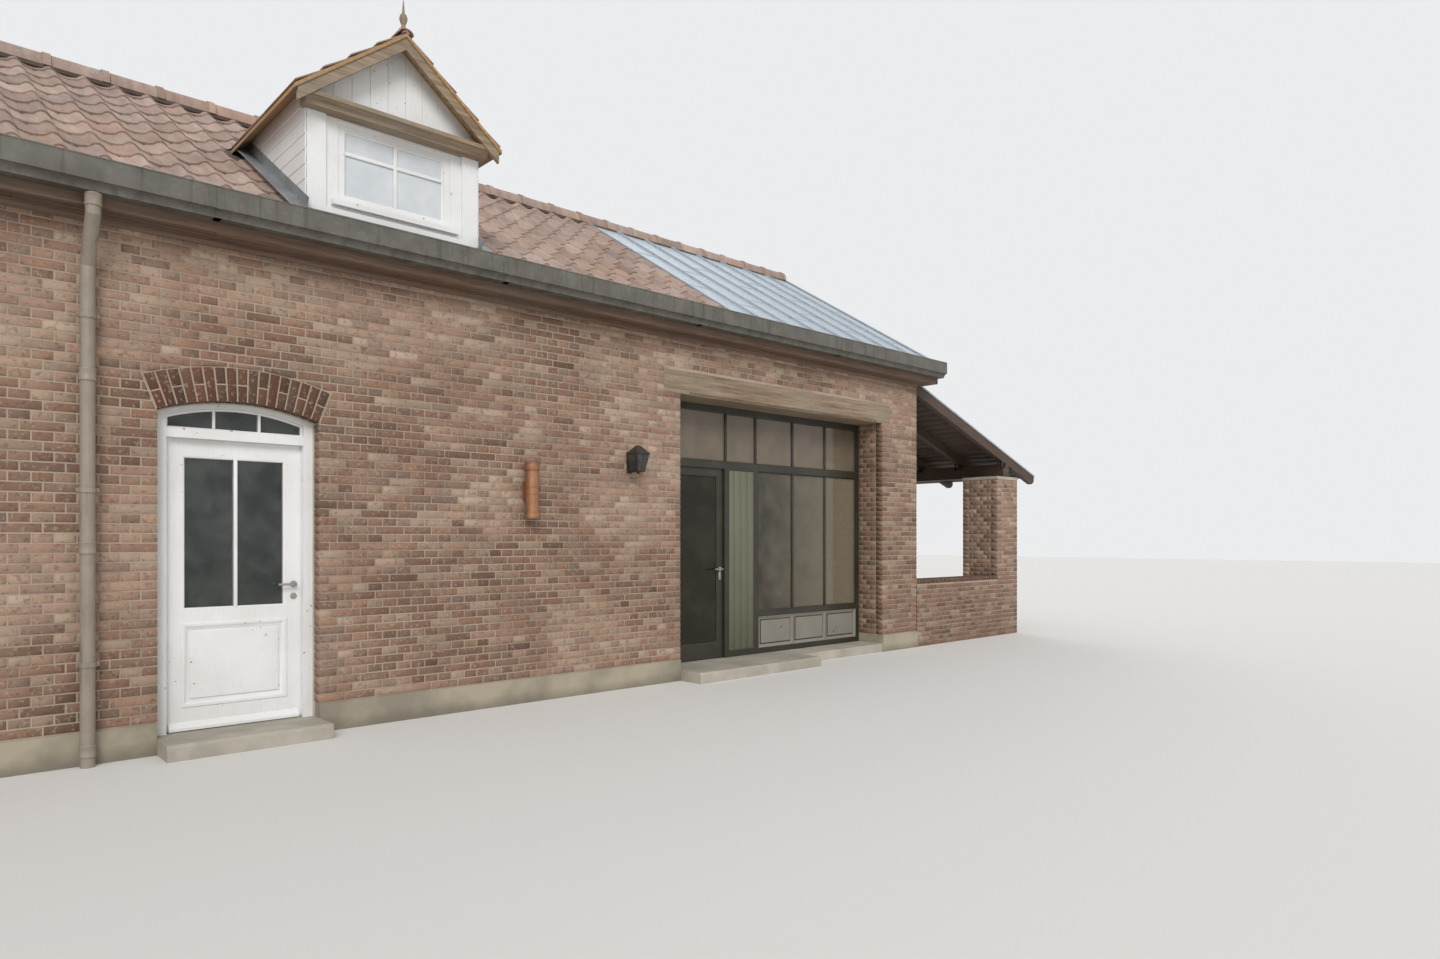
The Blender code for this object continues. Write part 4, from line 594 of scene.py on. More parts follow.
def place_piece(name: str, form: "BMesh | bpy.types.Mesh", material: Material, body: str = HOUSE,
                replaced: Sequence[str] = (), smooth: float | None = None) -> None:
    """Put a form into the scene, hang it on its body and hide the nodes it stands for.

    Args:
        name: The piece's name.
        form: Its mesh or bmesh, with its place in it. A bmesh is freed.
        material: Its finish.
        body: The body it moves with.
        replaced: The nodes it stands for.
        smooth: The angle in degrees below which edges are smooth, or None for flat faces.
    """
    mesh = form
    if isinstance(form, BMesh):
        mesh = bpy.data.meshes.new(name)
        form.to_mesh(mesh)
        form.free()
    mesh.materials.append(material)
    if smooth is not None:
        mesh.shade_smooth()
        mesh.set_sharp_from_angle(angle=math.radians(smooth))
    piece = bpy.data.objects.new(name, mesh)
    bpy.context.scene.collection.objects.link(piece)
    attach(piece, body)
    if replaced:
        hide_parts(*replaced)
    LOG.info("%s: %d triangles", name, sum(len(p.vertices) - 2 for p in mesh.polygons))


def copied(*nodes: str) -> BMesh:
    """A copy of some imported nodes, with their split corners joined."""
    bm = bmesh.new()
    for node in nodes:
        bm.from_mesh(frame["nodes"][node].data)
    bmesh.ops.remove_doubles(bm, verts=bm.verts, dist=0.0002)
    return bm


def trim(bm: BMesh, cut: Cut) -> None:
    """Take off what lies beyond a plane, and close the cut."""
    bmesh.ops.bisect_plane(bm, geom=bm.verts[:] + bm.edges[:] + bm.faces[:], plane_co=cut[0],
                           plane_no=cut[1], clear_outer=True)
    bmesh.ops.holes_fill(bm, edges=[e for e in bm.edges if e.is_boundary])


def merged(own: BMesh, into: BMesh | None, place: Matrix | None = None) -> BMesh:
    """Put a form where it belongs and add it to another.

    Args:
        own: What is added. It is freed if there is something to add it to.
        into: The bmesh that takes it.
        place: From its own axes to the house's.

    Returns:
        The bmesh that holds both.
    """
    if place is not None:
        bmesh.ops.transform(own, matrix=place, verts=own.verts)
    if into is None:
        return own
    mesh = bpy.data.meshes.new("part")
    own.to_mesh(mesh)
    own.free()
    into.from_mesh(mesh)
    bpy.data.meshes.remove(mesh)
    return into


def box(low: Sequence[float], high: Sequence[float], edge: float, into: BMesh | None = None,
        place: Matrix | None = None, segments: int = 1) -> BMesh:
    """Model a box between two opposite corners with its edges taken off.

    Args:
        low: One corner.
        high: The other corner.
        edge: Width of the bevel.
        into: A bmesh to add it to.
        place: From its own axes to the house's.
        segments: Faces across the bevel.

    Returns:
        The bmesh.
    """
    own = bmesh.new()
    size = [abs(b - a) for a, b in zip(low, high)]
    matrix = Matrix.Translation((Vector(high) + Vector(low)) / 2) @ Matrix.Diagonal((*size, 1.0))
    bmesh.ops.create_cube(own, size=1.0, matrix=matrix)
    bmesh.ops.bevel(own, geom=own.edges[:], offset=edge, offset_type="OFFSET", segments=segments,
                    affect="EDGES", profile=0.5, material=-1)
    return merged(own, into, place)


def prism(outline: Sequence[Sequence[float]], move: Sequence[float], into: BMesh | None = None,
          place: Matrix | None = None) -> BMesh:
    """Model a prism.

    Args:
        outline: The corners of one end.
        move: From that end to the other.
        into: A bmesh to add it to.
        place: From its own axes to the house's.

    Returns:
        The bmesh.
    """
    own = bmesh.new()
    face = own.faces.new([own.verts.new(point) for point in outline])
    push(own, bmesh.ops.extrude_face_region(own, geom=[face]), move)
    return merged(own, into, place)


def push(bm: BMesh, made: dict, move: Sequence[float]) -> None:
    """Move what an extrusion made, and turn the faces outwards."""
    tips = [item for item in made["geom"] if isinstance(item, bmesh.types.BMVert)]
    bmesh.ops.translate(bm, verts=tips, vec=move)
    bmesh.ops.recalc_face_normals(bm, faces=bm.faces)


def curved_sheet(line: Sequence[Sequence[float]], move: Sequence[float], thickness: float) -> Shape:
    """Model a tile by moving a curved line along and thickening the sheet that this gives.

    Args:
        line: The points of its upper side at one end.
        move: From that end to the other.
        thickness: How thick it is.

    Returns:
        The tile.
    """
    bm = bmesh.new()
    verts = [bm.verts.new(point) for point in line]
    edges = [bm.edges.new(pair) for pair in zip(verts, verts[1:])]
    push(bm, bmesh.ops.extrude_edge_only(bm, edges=edges), move)
    if sum(f.normal.z for f in bm.faces) < 0:
        bmesh.ops.reverse_faces(bm, faces=bm.faces)
    bmesh.ops.solidify(bm, geom=bm.faces[:], thickness=thickness)
    return Shape(bm)


def moulded(profile: Sequence[Pair], start: Vector, end: Vector, out: Vector,
            into: BMesh | None = None) -> BMesh:
    """Model a straight, level length of a moulding.

    Args:
        profile: The closed section as (outwards, upwards) pairs.
        start: Where the section's corner (0, 0) starts.
        end: Where it ends.
        out: The direction that outwards stands for.
        into: A bmesh to add it to.

    Returns:
        The bmesh.
    """
    return prism([start + out * a + UP * b for a, b in profile], end - start, into)


def turned(profile: Sequence[Pair], steps: int, place: Matrix, into: BMesh) -> None:
    """Turn a profile round an axis.

    Args:
        profile: (radius, height) pairs whose ends lie on the axis or on each other.
        steps: Steps of the turn.
        place: Where the axis goes.
        into: The bmesh to add it to.
    """
    own = bmesh.new()
    verts = [own.verts.new((radius, 0, height)) for radius, height in profile]
    edges = [own.edges.new(pair) for pair in zip(verts, verts[1:])]
    bmesh.ops.spin(own, geom=verts + edges, cent=(0, 0, 0), axis=UP, angle=math.tau, steps=steps,
                   use_merge=True)
    bmesh.ops.remove_doubles(own, verts=own.verts, dist=1e-5)
    bmesh.ops.recalc_face_normals(own, faces=own.faces)
    merged(own, into, place)


class Lead(Enum):
    """How the rows of a wall's face end."""

    CORNER = "turn the corner in every second row"
    NONE = "end plainly"


@dataclass(frozen=True)
class Bond:
    """Sizes of the bricks and how they are laid: rows of headers and stretchers in turn."""

    length: float = 0.210
    width: float = 0.100
    height: float = 0.050
    joint: float = 0.010
    proud: float = 0.004
    depth: float = 0.034
    deep: float = 0.096
    chamfer: float = 0.0035
    smallest: float = 0.045
    thinnest: float = 0.020
    sliver: float = 0.012

    @property
    def course(self) -> float:
        """Height of a row with its joint."""
        return self.height + self.joint

    def brick(self) -> Shape:
        """A brick's face with its arrises taken off: out of the wall is its own -Y."""
        bm = bmesh.new()
        matrix = Matrix.Diagonal((self.width, self.depth, self.height, 1.0))
        bmesh.ops.create_cube(bm, size=1.0, matrix=matrix)
        front = min(bm.faces, key=lambda f: f.calc_center_median().y)
        bmesh.ops.inset_region(bm, faces=[front], thickness=self.chamfer, depth=0.0)
        rim = [v for v in bm.verts if v.co.y < 0 and v not in front.verts[:]]
        bmesh.ops.translate(bm, verts=rim, vec=(0, self.chamfer * 0.8, 0))
        return Shape(bm)

    def row(self, low: float, high: float, stretchers: bool, shifted: bool) -> list[Pair]:
        """Share out a row between two ends.

        Args:
            low: Where the row starts.
            high: Where it ends.
            stretchers: Whether the bricks lie lengthwise in this row.
            shifted: Whether its joints are moved on by half a brick, as in every second such row.

        Returns:
            Start and end of each brick.
        """
        pitch = (self.length if stretchers else self.width) + self.joint
        shift = (pitch / 2 if shifted else 0.0) if stretchers else 1.5 * pitch
        first = math.ceil((low + self.smallest - shift) / pitch)
        last = math.floor((high - self.smallest - shift) / pitch)
        joints = [shift + pitch * k for k in range(first, last + 1)]
        starts = [low] + [j + self.joint / 2 for j in joints]
        ends = [j - self.joint / 2 for j in joints] + [high]
        return list(zip(starts, ends))


@dataclass
class WallFace:
    """One face of a wall to be covered with bricks.

    Along the face, u runs from 0 to its length. Holes are (u low, u high, z low, z high).
    """

    origin: Vector
    along: Vector
    length: float
    low: float
    high: float
    lead: Lead = Lead.NONE
    holes: tuple[Oblong, ...] = ()
    slopes: tuple[tuple[Pair, Pair], ...] = ()
    arch: "DoorArch | None" = None
    odd_stretchers: bool = False
    hole_margin: float = 0.004

    @property
    def out(self) -> Vector:
        """Direction out of the wall."""
        return self.along.cross(UP)

    def place(self, u: float, z: float, inwards: float = 0.0) -> Vector:
        """A point of the wall: along it, up it, and into it from its face."""
        return self.origin + self.along * u + UP * z - self.out * inwards

    def turn(self) -> Matrix:
        """Rotation from a brick's own axes to the wall's."""
        return Matrix((self.along, -self.out, UP)).transposed().to_4x4()

    def stretches(self, bottom: float, top: float, number: int, bond: Bond) -> list:
        """Work out the free stretches of one row.

        Args:
            bottom: The row's bottom.
            top: Its top.
            number: Its number.
            bond: The bricks' sizes.

        Returns:
            Start, end, and whether each end shows a deep brick.
        """
        past, deep = self.end(number, bond)
        free = [(-past, self.length + past, deep, deep)]
        for left, right, hole_low, hole_high in self.holes:
            if bottom + self.hole_margin >= hole_high or top - self.hole_margin <= hole_low:
                continue
            parts = []
            for a, b, deep_a, deep_b in free:
                if right <= a or left >= b:
                    parts.append((a, b, deep_a, deep_b))
                    continue
                if left > a:
                    parts.append((a, left, deep_a, True))
                if right < b:
                    parts.append((right, b, True, deep_b))
            free = parts
        return free

    def stretchers(self, number: int) -> bool:
        """Whether the bricks of a row lie lengthwise."""
        return (number % 2 == 1) == self.odd_stretchers

    def end(self, number: int, bond: Bond) -> tuple[float, bool]:
        """How far a row passes the face's ends, and whether its last brick is a deep one."""
        if self.lead is Lead.NONE:
            return 0.0, False
        if self.stretchers(number):
            return bond.proud, True
        return -bond.width - bond.joint + bond.proud, False


class DoorArch:
    """The ring over the front door: its centre, its curves and its bricks."""

    def __init__(self, bond: Bond) -> None:
        """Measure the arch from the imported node."""
        low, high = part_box("door_arch")
        frame_low, frame_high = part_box("door_frame")
        self.gap = bond.joint
        self.crown, self.spring = high.z, low.z
        self.front, self.middle = low.y, (low.x + high.x) / 2
        half = (frame_high.x - frame_low.x) / 2
        rise = frame_high.z - self.spring
        self.inner = (half * half + rise * rise) / (2 * rise)
        self.centre = frame_high.z - self.inner
        self.outer = self.crown - self.centre
        self.spread = math.asin(half / self.inner)

    def pieces(self, u_low: float, u_high: float, z_low: float, z_high: float) -> list[list[Cut]]:
        """Find what the arch leaves of a brick near it.

        Args:
            u_low: Where the brick starts, as world X.
            u_high: Where it ends.
            z_low: Its bottom.
            z_high: Its top.

        Returns:
            For each piece that is left, its cuts.
        """
        gap, sine, cosine = self.gap, math.sin(self.spread), math.cos(self.spread)
        foot, reach = sine * self.inner + gap, sine * self.outer + gap
        if z_high < self.spring or z_low > self.crown + gap:
            return [[]]
        if u_high < self.middle - reach or u_low > self.middle + reach:
            return [[]]
        if z_low < self.centre + cosine * self.outer:
            found = []
            for way, corner in ((1, u_low), (-1, u_high)):
                spot = Vector((self.middle - way * foot, 0, self.spring))
                normal = Vector((way * cosine, 0, sine))
                if (Vector((corner, 0, z_low)) - spot).dot(normal) < -gap:
                    found.append([(spot, normal)])
            return found
        ends = []
        for x in (max(u_low, self.middle - reach), min(u_high, self.middle + reach)):
            height = math.sqrt((self.outer + gap) ** 2 - (x - self.middle) ** 2)
            ends.append(Vector((x, 0, self.centre + height)))
        if max(point.z for point in ends) <= z_low:
            return [[]]
        run = ends[1] - ends[0]
        return [[(ends[0], Vector((run.z, 0, -run.x)).normalized())]]


def sides(low: Vector, high: Vector) -> list[tuple[Vector, Vector, float]]:
    """Start, direction and length of the front, rear, left and right face of an upright block."""
    wide, deep = high.x - low.x, high.y - low.y
    return [(Vector((low.x, low.y, 0)), EAST, wide), (Vector((high.x, high.y, 0)), WEST, wide),
            (Vector((low.x, high.y, 0)), SOUTH, deep), (Vector((high.x, low.y, 0)), NORTH, deep)]


@dataclass
class Brickwork:
    """The bricks of every wall, laid in cross bond over the mortar-coloured walls."""

    red: Material
    dark_red: Material
    bond: Bond = field(default_factory=Bond)
    plinth: float = 0.015
    first_course: float = 0.210
    under_eaves: float = 3.330
    reveal_stop: float = 0.355
    unevenness: float = 0.0012
    coping_drop: float = 0.024

    def __post_init__(self) -> None:
        """Model the brick and measure the arch once."""
        self.brick = self.bond.brick()
        self.arch = DoorArch(self.bond)

    def lay(self, face: WallFace, swarm: Swarm) -> None:
        """Lay the rows of one face."""
        bond = self.bond
        rows = math.floor((face.high - face.low - bond.thinnest) / bond.course) + 1
        for number in range(rows):
            bottom = face.low + bond.course * number
            top = min(bottom + bond.height, face.high)
            for low, high, deep_low, deep_high in face.stretches(bottom, top, number, bond):
                bricks = bond.row(low, high, face.stretchers(number), number % 4 > 1)
                for index, (start, end) in enumerate(bricks):
                    deep = (index == 0 and deep_low) or (index == len(bricks) - 1 and deep_high)
                    self.put(face, (start, end, bottom, top), deep, swarm)

    def put(self, face: WallFace, brick: Oblong, deep: bool, swarm: Swarm) -> None:
        """Put one brick in its row, cut where a slope or the arch crosses it.

        Args:
            face: The face that it belongs to.
            brick: Its start, end, bottom and top on that face.
            deep: Whether more than its front shows.
            swarm: Takes it.
        """
        bond, (start, end, bottom, top) = self.bond, brick
        cuts = []
        for foot, head in face.slopes:
            point = face.place(*foot)
            normal = face.out.cross(face.place(*head) - point).normalized()
            over = [(face.place(u, z) - point).dot(normal) for u in (start, end) for z in (bottom, top)]
            if min(over) > -bond.sliver:
                return
            if max(over) > 0:
                cuts.append((point, normal))
        pieces = [[]]
        if face.arch is not None:
            pieces = face.arch.pieces(face.origin.x + start, face.origin.x + end, bottom, top)
        depth = bond.deep if deep else bond.depth
        shift = swarm.random.uniform(-self.unevenness, self.unevenness) * (0 if deep else 1)
        middle = face.place((start + end) / 2, (bottom + top) / 2, depth / 2 - bond.proud + shift)
        place = Matrix.Translation(middle) @ face.turn()
        stretch = Vector((end - start - bond.width, depth - bond.depth, top - bottom - bond.height)) / 2
        for piece in pieces:
            if cuts or piece:
                points = [place @ Vector(point) for point in self.brick.stretched(stretch)]
                swarm.add_cut(points, self.brick, cuts + piece)
            else:
                swarm.add(self.brick, place, stretch)

    def ring(self) -> None:
        """Lay the voussoirs of the door arch, whole and halved ones in turn."""
        swarm, arch, bond = Swarm(31), self.arch, self.bond
        count = round(2 * arch.spread * arch.inner / bond.course)
        step = 2 * arch.spread / count
        full, half_joint = arch.outer - arch.inner, bond.joint / 2
        deeper = (bond.deep - bond.depth) / 2
        halves = ((-bond.proud, full / 2 - half_joint), (full / 2 + half_joint, full))
        for index in range(count):
            for near, far in ((-bond.proud, full),) if index % 2 else halves:
                points = self.brick.stretched((0, deeper, (far - near - bond.height) / 2))
                share = points[:, 0] / (bond.width / 2) * (0.5 - half_joint / (step * arch.inner))
                turn = (index + 0.5 + share) * step - arch.spread
                radius = points[:, 2] + arch.inner + (near + far) / 2
                depth = points[:, 1] + arch.front + bond.deep / 2 - bond.proud
                bent = (arch.middle + radius * np.sin(turn), depth, arch.centre + radius * np.cos(turn))
                swarm.add(self.brick.bent(np.stack(bent, axis=1)), Matrix.Identity(4))
        swarm.place("door_arch_bricks", self.dark_red, "arch_brick")

    def faces(self) -> dict[str, list[WallFace]]:
        """Describe every wall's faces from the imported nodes, by the name of the piece they become."""
        low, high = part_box("left_gable")
        south, north = low.y + self.plinth, high.y - self.plinth
        west, east = low.x + self.plinth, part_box("right_gable")[1].x - self.plinth
        apex, eaves, half = high.z - 0.006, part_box("front_wall_left")[1].z + 0.115, (north - south) / 2
        slopes = (((0.0, eaves), (half, apex)), ((half, apex), (2 * half, eaves)))
        names = ("front_wall_bricks", "rear_wall_bricks", "left_gable_bricks", "right_gable_bricks")
        walls = sides(Vector((west, south)), Vector((east, north)))
        found = {}
        for name, (origin, along, length) in zip(names, walls):
            gable = along.x == 0
            top = apex if gable else self.under_eaves
            found[name] = [WallFace(origin, along, length, self.first_course, top, Lead.CORNER,
                                    slopes=slopes if gable else (), odd_stretchers=gable)]
        self.openings(found["front_wall_bricks"], west, south)
        for node in ("canopy_pier_front", "canopy_pier_rear"):
            low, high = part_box(node)
            found[node + "_bricks"] = [
                WallFace(origin, along, length, self.bond.joint / 2, high.z - 0.004, Lead.CORNER,
                         odd_stretchers=along.x == 0) for origin, along, length in sides(low, high)]
        low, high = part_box("canopy_low_wall")
        found["canopy_low_wall_bricks"] = [
            WallFace(origin, along, length, self.bond.joint / 2, high.z - 0.055)
            for origin, along, length in sides(low, high)[:2]]
        return found

    def openings(self, front: list[WallFace], west: float, south: float) -> None:
        """Cut the openings into the front wall's face and add the faces of the entrance's reveals.

        Args:
            front: The front wall's face.
            west: Where it starts.
            south: The Y of the face.
        """
        proud = self.bond.proud
        door_low, door_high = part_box("door_frame")
        screen_low, screen_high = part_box("entrance_frame")
        lintel_low, lintel_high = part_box("entrance_lintel")
        front[0].arch = self.arch
        front[0].holes = (
            (door_low.x - west + proud, door_high.x - west - proud, 0.0, door_high.z - 0.09),
            (screen_low.x - west + proud, screen_high.x - west - proud, 0.0, lintel_low.z),
            (lintel_low.x - west, lintel_high.x - west, lintel_low.z - 0.001, lintel_high.z + 0.006))
        start = self.bond.width + self.bond.joint - proud
        reveals = ((screen_low.x, start, NORTH), (screen_high.x, self.reveal_stop, SOUTH))
        for x, inwards, along in reveals:
            front.append(WallFace(Vector((x, south + inwards, 0)), along, self.reveal_stop - start,
                                  self.first_course, lintel_low.z - 0.002))

    def coping(self) -> None:
        """Lay the row on edge along the top of the canopy's low wall."""
        low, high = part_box("canopy_low_wall")
        swarm, bond = Swarm(61), self.bond
        count = int((high.x - low.x) / bond.course)
        start = (low.x + high.x - (count - 1) * bond.course) / 2
        turn = Matrix.Rotation(-math.pi / 2, 4, "X") @ Matrix.Diagonal((bond.height / bond.width, 1, 1, 1))
        stretch = (0.0, 0.010, (high.y - low.y + 2 * bond.proud - bond.height) / 2)
        for index in range(count):
            spot = (start + index * bond.course, (low.y + high.y) / 2, high.z - self.coping_drop)
            swarm.add(self.brick, Matrix.Translation(spot) @ turn, stretch)
        swarm.place("canopy_low_wall_coping", self.dark_red, "arch_brick")

    def build(self) -> None:
        """Lay all the bricks."""
        for seed, (name, faces) in enumerate(self.faces().items(), 10):
            swarm = Swarm(seed)
            for face in faces:
                self.lay(face, swarm)
            swarm.place(name, self.red, "brick")
        self.ring()
        self.coping()


def slope_axes(apex: float, side: int) -> Matrix:
    """Axes of one side of the main roof, from its ridge: x along it, y down it and z out of it.

    Args:
        apex: Height of the ridge.
        side: -1 for the front and 1 for the rear.

    Returns:
        The matrix from these axes to the house's.
    """
    sine, cosine = math.sin(MAIN_PITCH), math.cos(MAIN_PITCH)
    turn = Matrix(((side, 0, 0), (0, side * cosine, -sine), (0, side * sine, cosine))).transposed()
    return Matrix.Translation((0, 0, apex)) @ turn.to_4x4()


@dataclass
class TiledRoof:
    """Pantiles on both slopes, with their underlay, verge fillets and ridge tiles."""

    clay: Material
    bedding: Material
    cover: float = 0.226
    roll_share: float = 0.42
    exposure: float = 0.300
    length: float = 0.355
    thickness: float = 0.012
    roll: float = 0.030
    pan: float = 0.012
    slab: float = 0.070
    ridge_length: float = 0.400
    collar: float = 0.055
    dormer_thickness: float = 0.060
    bed_thickness: float = 0.018
    verge_gap: float = 0.013
    fillet: float = 0.028

    def __post_init__(self) -> None:
        """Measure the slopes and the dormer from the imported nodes."""
        low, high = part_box("roof_tiles_front")
        self.left, self.right = low.x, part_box("roof_tiles_right_of_dormer")[1].x
        self.apex = high.z
        self.run = -low.y / math.cos(MAIN_PITCH)
        face_low, face_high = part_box("dormer_front")
        self.dormer_low, self.dormer_high, self.dormer_face = face_low.x, face_high.x, face_low.y
        roof_low, roof_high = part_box("dormer_roof_left")
        self.dormer_apex = roof_high.z
        reach = (self.dormer_low + self.dormer_high) / 2 - roof_low.x
        self.dormer_eaves = roof_high.z - self.dormer_thickness - reach * math.tan(DORMER_PITCH) + 0.06

    def tile(self, cover: float) -> Shape:
        """Model one pantile that covers some width: a roll on its left and a pan beside it."""
        wide = cover * self.roll_share
        flat = cover - wide
        line = [(-0.010, 0, -0.012)]
        line += [(wide * k / 5, 0, self.roll * math.sin(math.pi * k / 5)) for k in range(6)]
        line += [(wide + flat * k / 4, 0, -self.pan * math.sin(math.pi * k / 4)) for k in range(1, 5)]
        return curved_sheet(line, (0, -self.length, -self.thickness - 0.003), self.thickness)

    def lay(self, side: int, name: str) -> None:
        """Lay the tiles of one slope.

        Args:
            side: -1 for the front and 1 for the rear.
            name: Front or rear.
        """
        swarm, axes = Swarm(70 + side), slope_axes(self.apex, side)
        rows = math.ceil((self.run - 0.06) / self.exposure)
        start, end = self.left + self.verge_gap, self.right - self.verge_gap
        count = round((end - start) / self.cover)
        cover = (end - start) / count
        tile = self.tile(cover)
        for column in range(count):
            x = start + cover * (column + (1 if side < 0 else 0))
            for row in range(rows):
                lower = self.run - row * self.exposure
                share = min(self.length, lower - 0.02) / self.length
                wobble = Matrix.Rotation(swarm.random.uniform(-0.006, 0.006), 4, "Z")
                lift = swarm.random.uniform(-0.0015, 0.0) - self.roll - 0.001
                spot = axes @ Matrix.Translation((x * side, lower, lift)) @ wobble
                self.place_tile(tile, spot @ Matrix.Diagonal((1, share, 1, 1)), side, swarm)
        swarm.place("roof_pantiles_" + name, self.clay, "roof_tile", smooth=50.0)

    def place_tile(self, tile: Shape, place: Matrix, side: int, swarm: Swarm) -> None:
        """Add one tile, cut where the dormer stands in its way.

        Args:
            tile: The tile.
            place: Where it goes.
            side: The slope it lies on.
            swarm: Takes it.
        """
        points = [place @ Vector(p) for p in tile.points]
        low, high = self.dormer_low - 0.002, self.dormer_high + 0.002
        near, far = min(p.y for p in points), max(p.y for p in points)
        left, right = min(p.x for p in points), max(p.x for p in points)
        middle = (low + high) / 2
        if side > 0 or far < self.dormer_face or right < low - 0.15 or left > high + 0.15:
            swarm.add(tile, place)
            return
        way = 1 if (left + right) / 2 > middle else -1
        gable = Vector((way * math.sin(DORMER_PITCH), 0, math.cos(DORMER_PITCH)))
        ridge = Vector((middle, 0, self.dormer_apex + 0.004))
        over = [(p - ridge).dot(gable) for p in points]
        cheek = high if way > 0 else low
        beyond = [way * (p.x - cheek) for p in points]
        below = max(p.z for p in points) < self.dormer_eaves
        front = Vector((0, self.dormer_face - 0.004, 0))
        beside = (Vector((cheek, 0, 0)), Vector((-way, 0, 0)))
        if min(beyond) >= 0 and (min(over) >= 0 or near > 0 or below):
            swarm.add(tile, place)
        elif near < self.dormer_face - 0.03:
            swarm.add_cut(points, tile, [(front, NORTH)])
            if max(beyond) > 0:
                swarm.add_cut(points, tile, [(front, SOUTH), beside])
        elif max(beyond) > 0 and below:
            swarm.add_cut(points, tile, [beside])
        elif max(over) > 0:
            swarm.add_cut(points, tile, [(ridge, -gable)])

    def underlay(self, nodes: tuple[str, ...], name: str) -> None:
        """Stand in for the covering's slabs with thinner ones, which show between and under the tiles.

        Args:
            nodes: The slabs.
            name: Front or rear.
        """
        bm = copied(*nodes)
        bed = self.apex - self.slab / math.cos(MAIN_PITCH) + self.bed_thickness
        for vert in bm.verts:
            vert.co.z = min(vert.co.z, bed - abs(vert.co.y) * math.tan(MAIN_PITCH))
        place_piece("roof_underlay_" + name, bm, self.bedding, HOUSE, nodes)

    def verges(self, side: int, name: str) -> None:
        """Close the tiles' ends at the verge and beside the sheet roof with mortar fillets."""
        bm, axes = bmesh.new(), slope_axes(self.apex, side)
        for x in (self.left, self.right - self.fillet):
            box((x * side, 0.05, -self.slab + 0.012), ((x + self.fillet) * side, self.run - 0.004, -0.024),
                0.004, bm, axes)
        place_piece("verge_fillets_" + name, bm, self.bedding)

    def cap(self, half: float, rise: float, length: float, steps: int = 10) -> Shape:
        """Model one round ridge tile of some half width, height and length, on its base."""
        turns = [math.pi * step / steps for step in range(steps + 1)]
        line = [(-length / 2, half * math.cos(t), rise * math.sin(t)) for t in turns]
        return curved_sheet(line, (length, 0, 0), 0.014)

    def ridge(self) -> None:
        """Lay the ridge tiles, each lapping over the next, on their mortar bed."""
        low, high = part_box("ridge_tiles")
        count = round((high.x - low.x) / self.ridge_length)
        pitch = (high.x - low.x) / count
        half, rise = (high.y - low.y) / 2 - 0.004, high.z - low.z
        swarm = Swarm(81)
        body = self.cap(half - 0.010, rise - 0.012, pitch - 0.004)
        collar = self.cap(half, rise - 0.001, self.collar)
        for index in range(count):
            start = low.x + pitch * index
            tilt = Matrix.Rotation(swarm.random.uniform(-0.004, 0.004), 4, "Z")
            swarm.add(body, Matrix.Translation((start + pitch / 2, 0, low.z)) @ tilt)
            swarm.add(collar, Matrix.Translation((start + pitch - 0.030, 0, low.z)) @ tilt)
        swarm.place("ridge_caps", self.clay, "roof_tile", ("ridge_tiles",), 40.0)
        bm = bmesh.new()
        for side in (-1, 1):
            box((low.x + 0.006, side * (half - 0.045), low.z - 0.035),
                (high.x - 0.006, side * (half - 0.012), low.z + 0.012), 0.006, bm)
        place_piece("ridge_bedding", bm, self.bedding)

    def build(self) -> None:
        """Cover the roof."""
        slopes = ((-1, "front", FRONT_FIELDS), (1, "rear", ("roof_tiles_rear",)))
        for side, name, nodes in slopes:
            self.lay(side, name)
            self.underlay(nodes, name)
        for side, name, nodes in slopes:
            self.verges(side, name)
        self.ridge()


def edging(profile: Sequence[Pair], path: Sequence[Pair], place: Matrix, into: BMesh,
           closed: bool = True) -> None:
    """Lead a section along a path, with mitred corners.

    Args:
        profile: The closed section as (to the left of the path, out of its plane) pairs.
        path: Points in the XZ plane of the edging's own axes, where out of the plane is -Y.
        place: From those axes to the house's.
        into: The bmesh to add it to.
        closed: Whether the path returns to its start.
    """
    own = bmesh.new()
    points = [Vector(p) for p in path]
    loops = []
    for index, point in enumerate(points):
        ways = []
        if closed or index:
            ways.append(point - points[index - 1])
        if closed or index < len(points) - 1:
            ways.append(points[(index + 1) % len(points)] - point)
        left = [Vector((-way.y, way.x)).normalized() for way in ways]
        mitre = left[0] if len(left) == 1 else (left[0] + left[1]) / (1 + left[0].dot(left[1]))
        ring = [own.verts.new((point.x + mitre.x * a, -b, point.y + mitre.y * a)) for a, b in profile]
        loops.append([own.edges.new(pair) for pair in zip(ring, ring[1:] + ring[:1])])
    for first, second in zip(loops, loops[1:] + (loops[:1] if closed else [])):
        bmesh.ops.bridge_loops(own, edges=first + second)
    if not closed:
        bmesh.ops.holes_fill(own, edges=[e for e in own.edges if e.is_boundary])
    bmesh.ops.recalc_face_normals(own, faces=own.faces)
    merged(own, into, place)


def both_faces(node: str) -> tuple[tuple[int, float], ...]:
    """Which way each face of a pane or panel looks, -1 for out of the front, and its Y."""
    low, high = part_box(node)
    return (-1, low.y), (1, high.y)


def facing(y: float, way: int) -> Matrix:
    """Axes of a flat face of a door or window.

    Args:
        y: Where the face lies.
        way: -1 if it looks out of the front, 1 if it looks into the house.

    Returns:
        A matrix from (along, -outwards, up) to the house's axes.
    """
    turn = Matrix.Identity(4) if way < 0 else Matrix.Rotation(math.pi, 4, "Z")
    return Matrix.Translation((0, y, 0)) @ turn


def upright(way: int) -> Matrix:
    """Rotation that turns up into out of a face, whose way is -1 for out of the front."""
    return Matrix.Rotation(math.pi / 2 * -way, 4, "X")


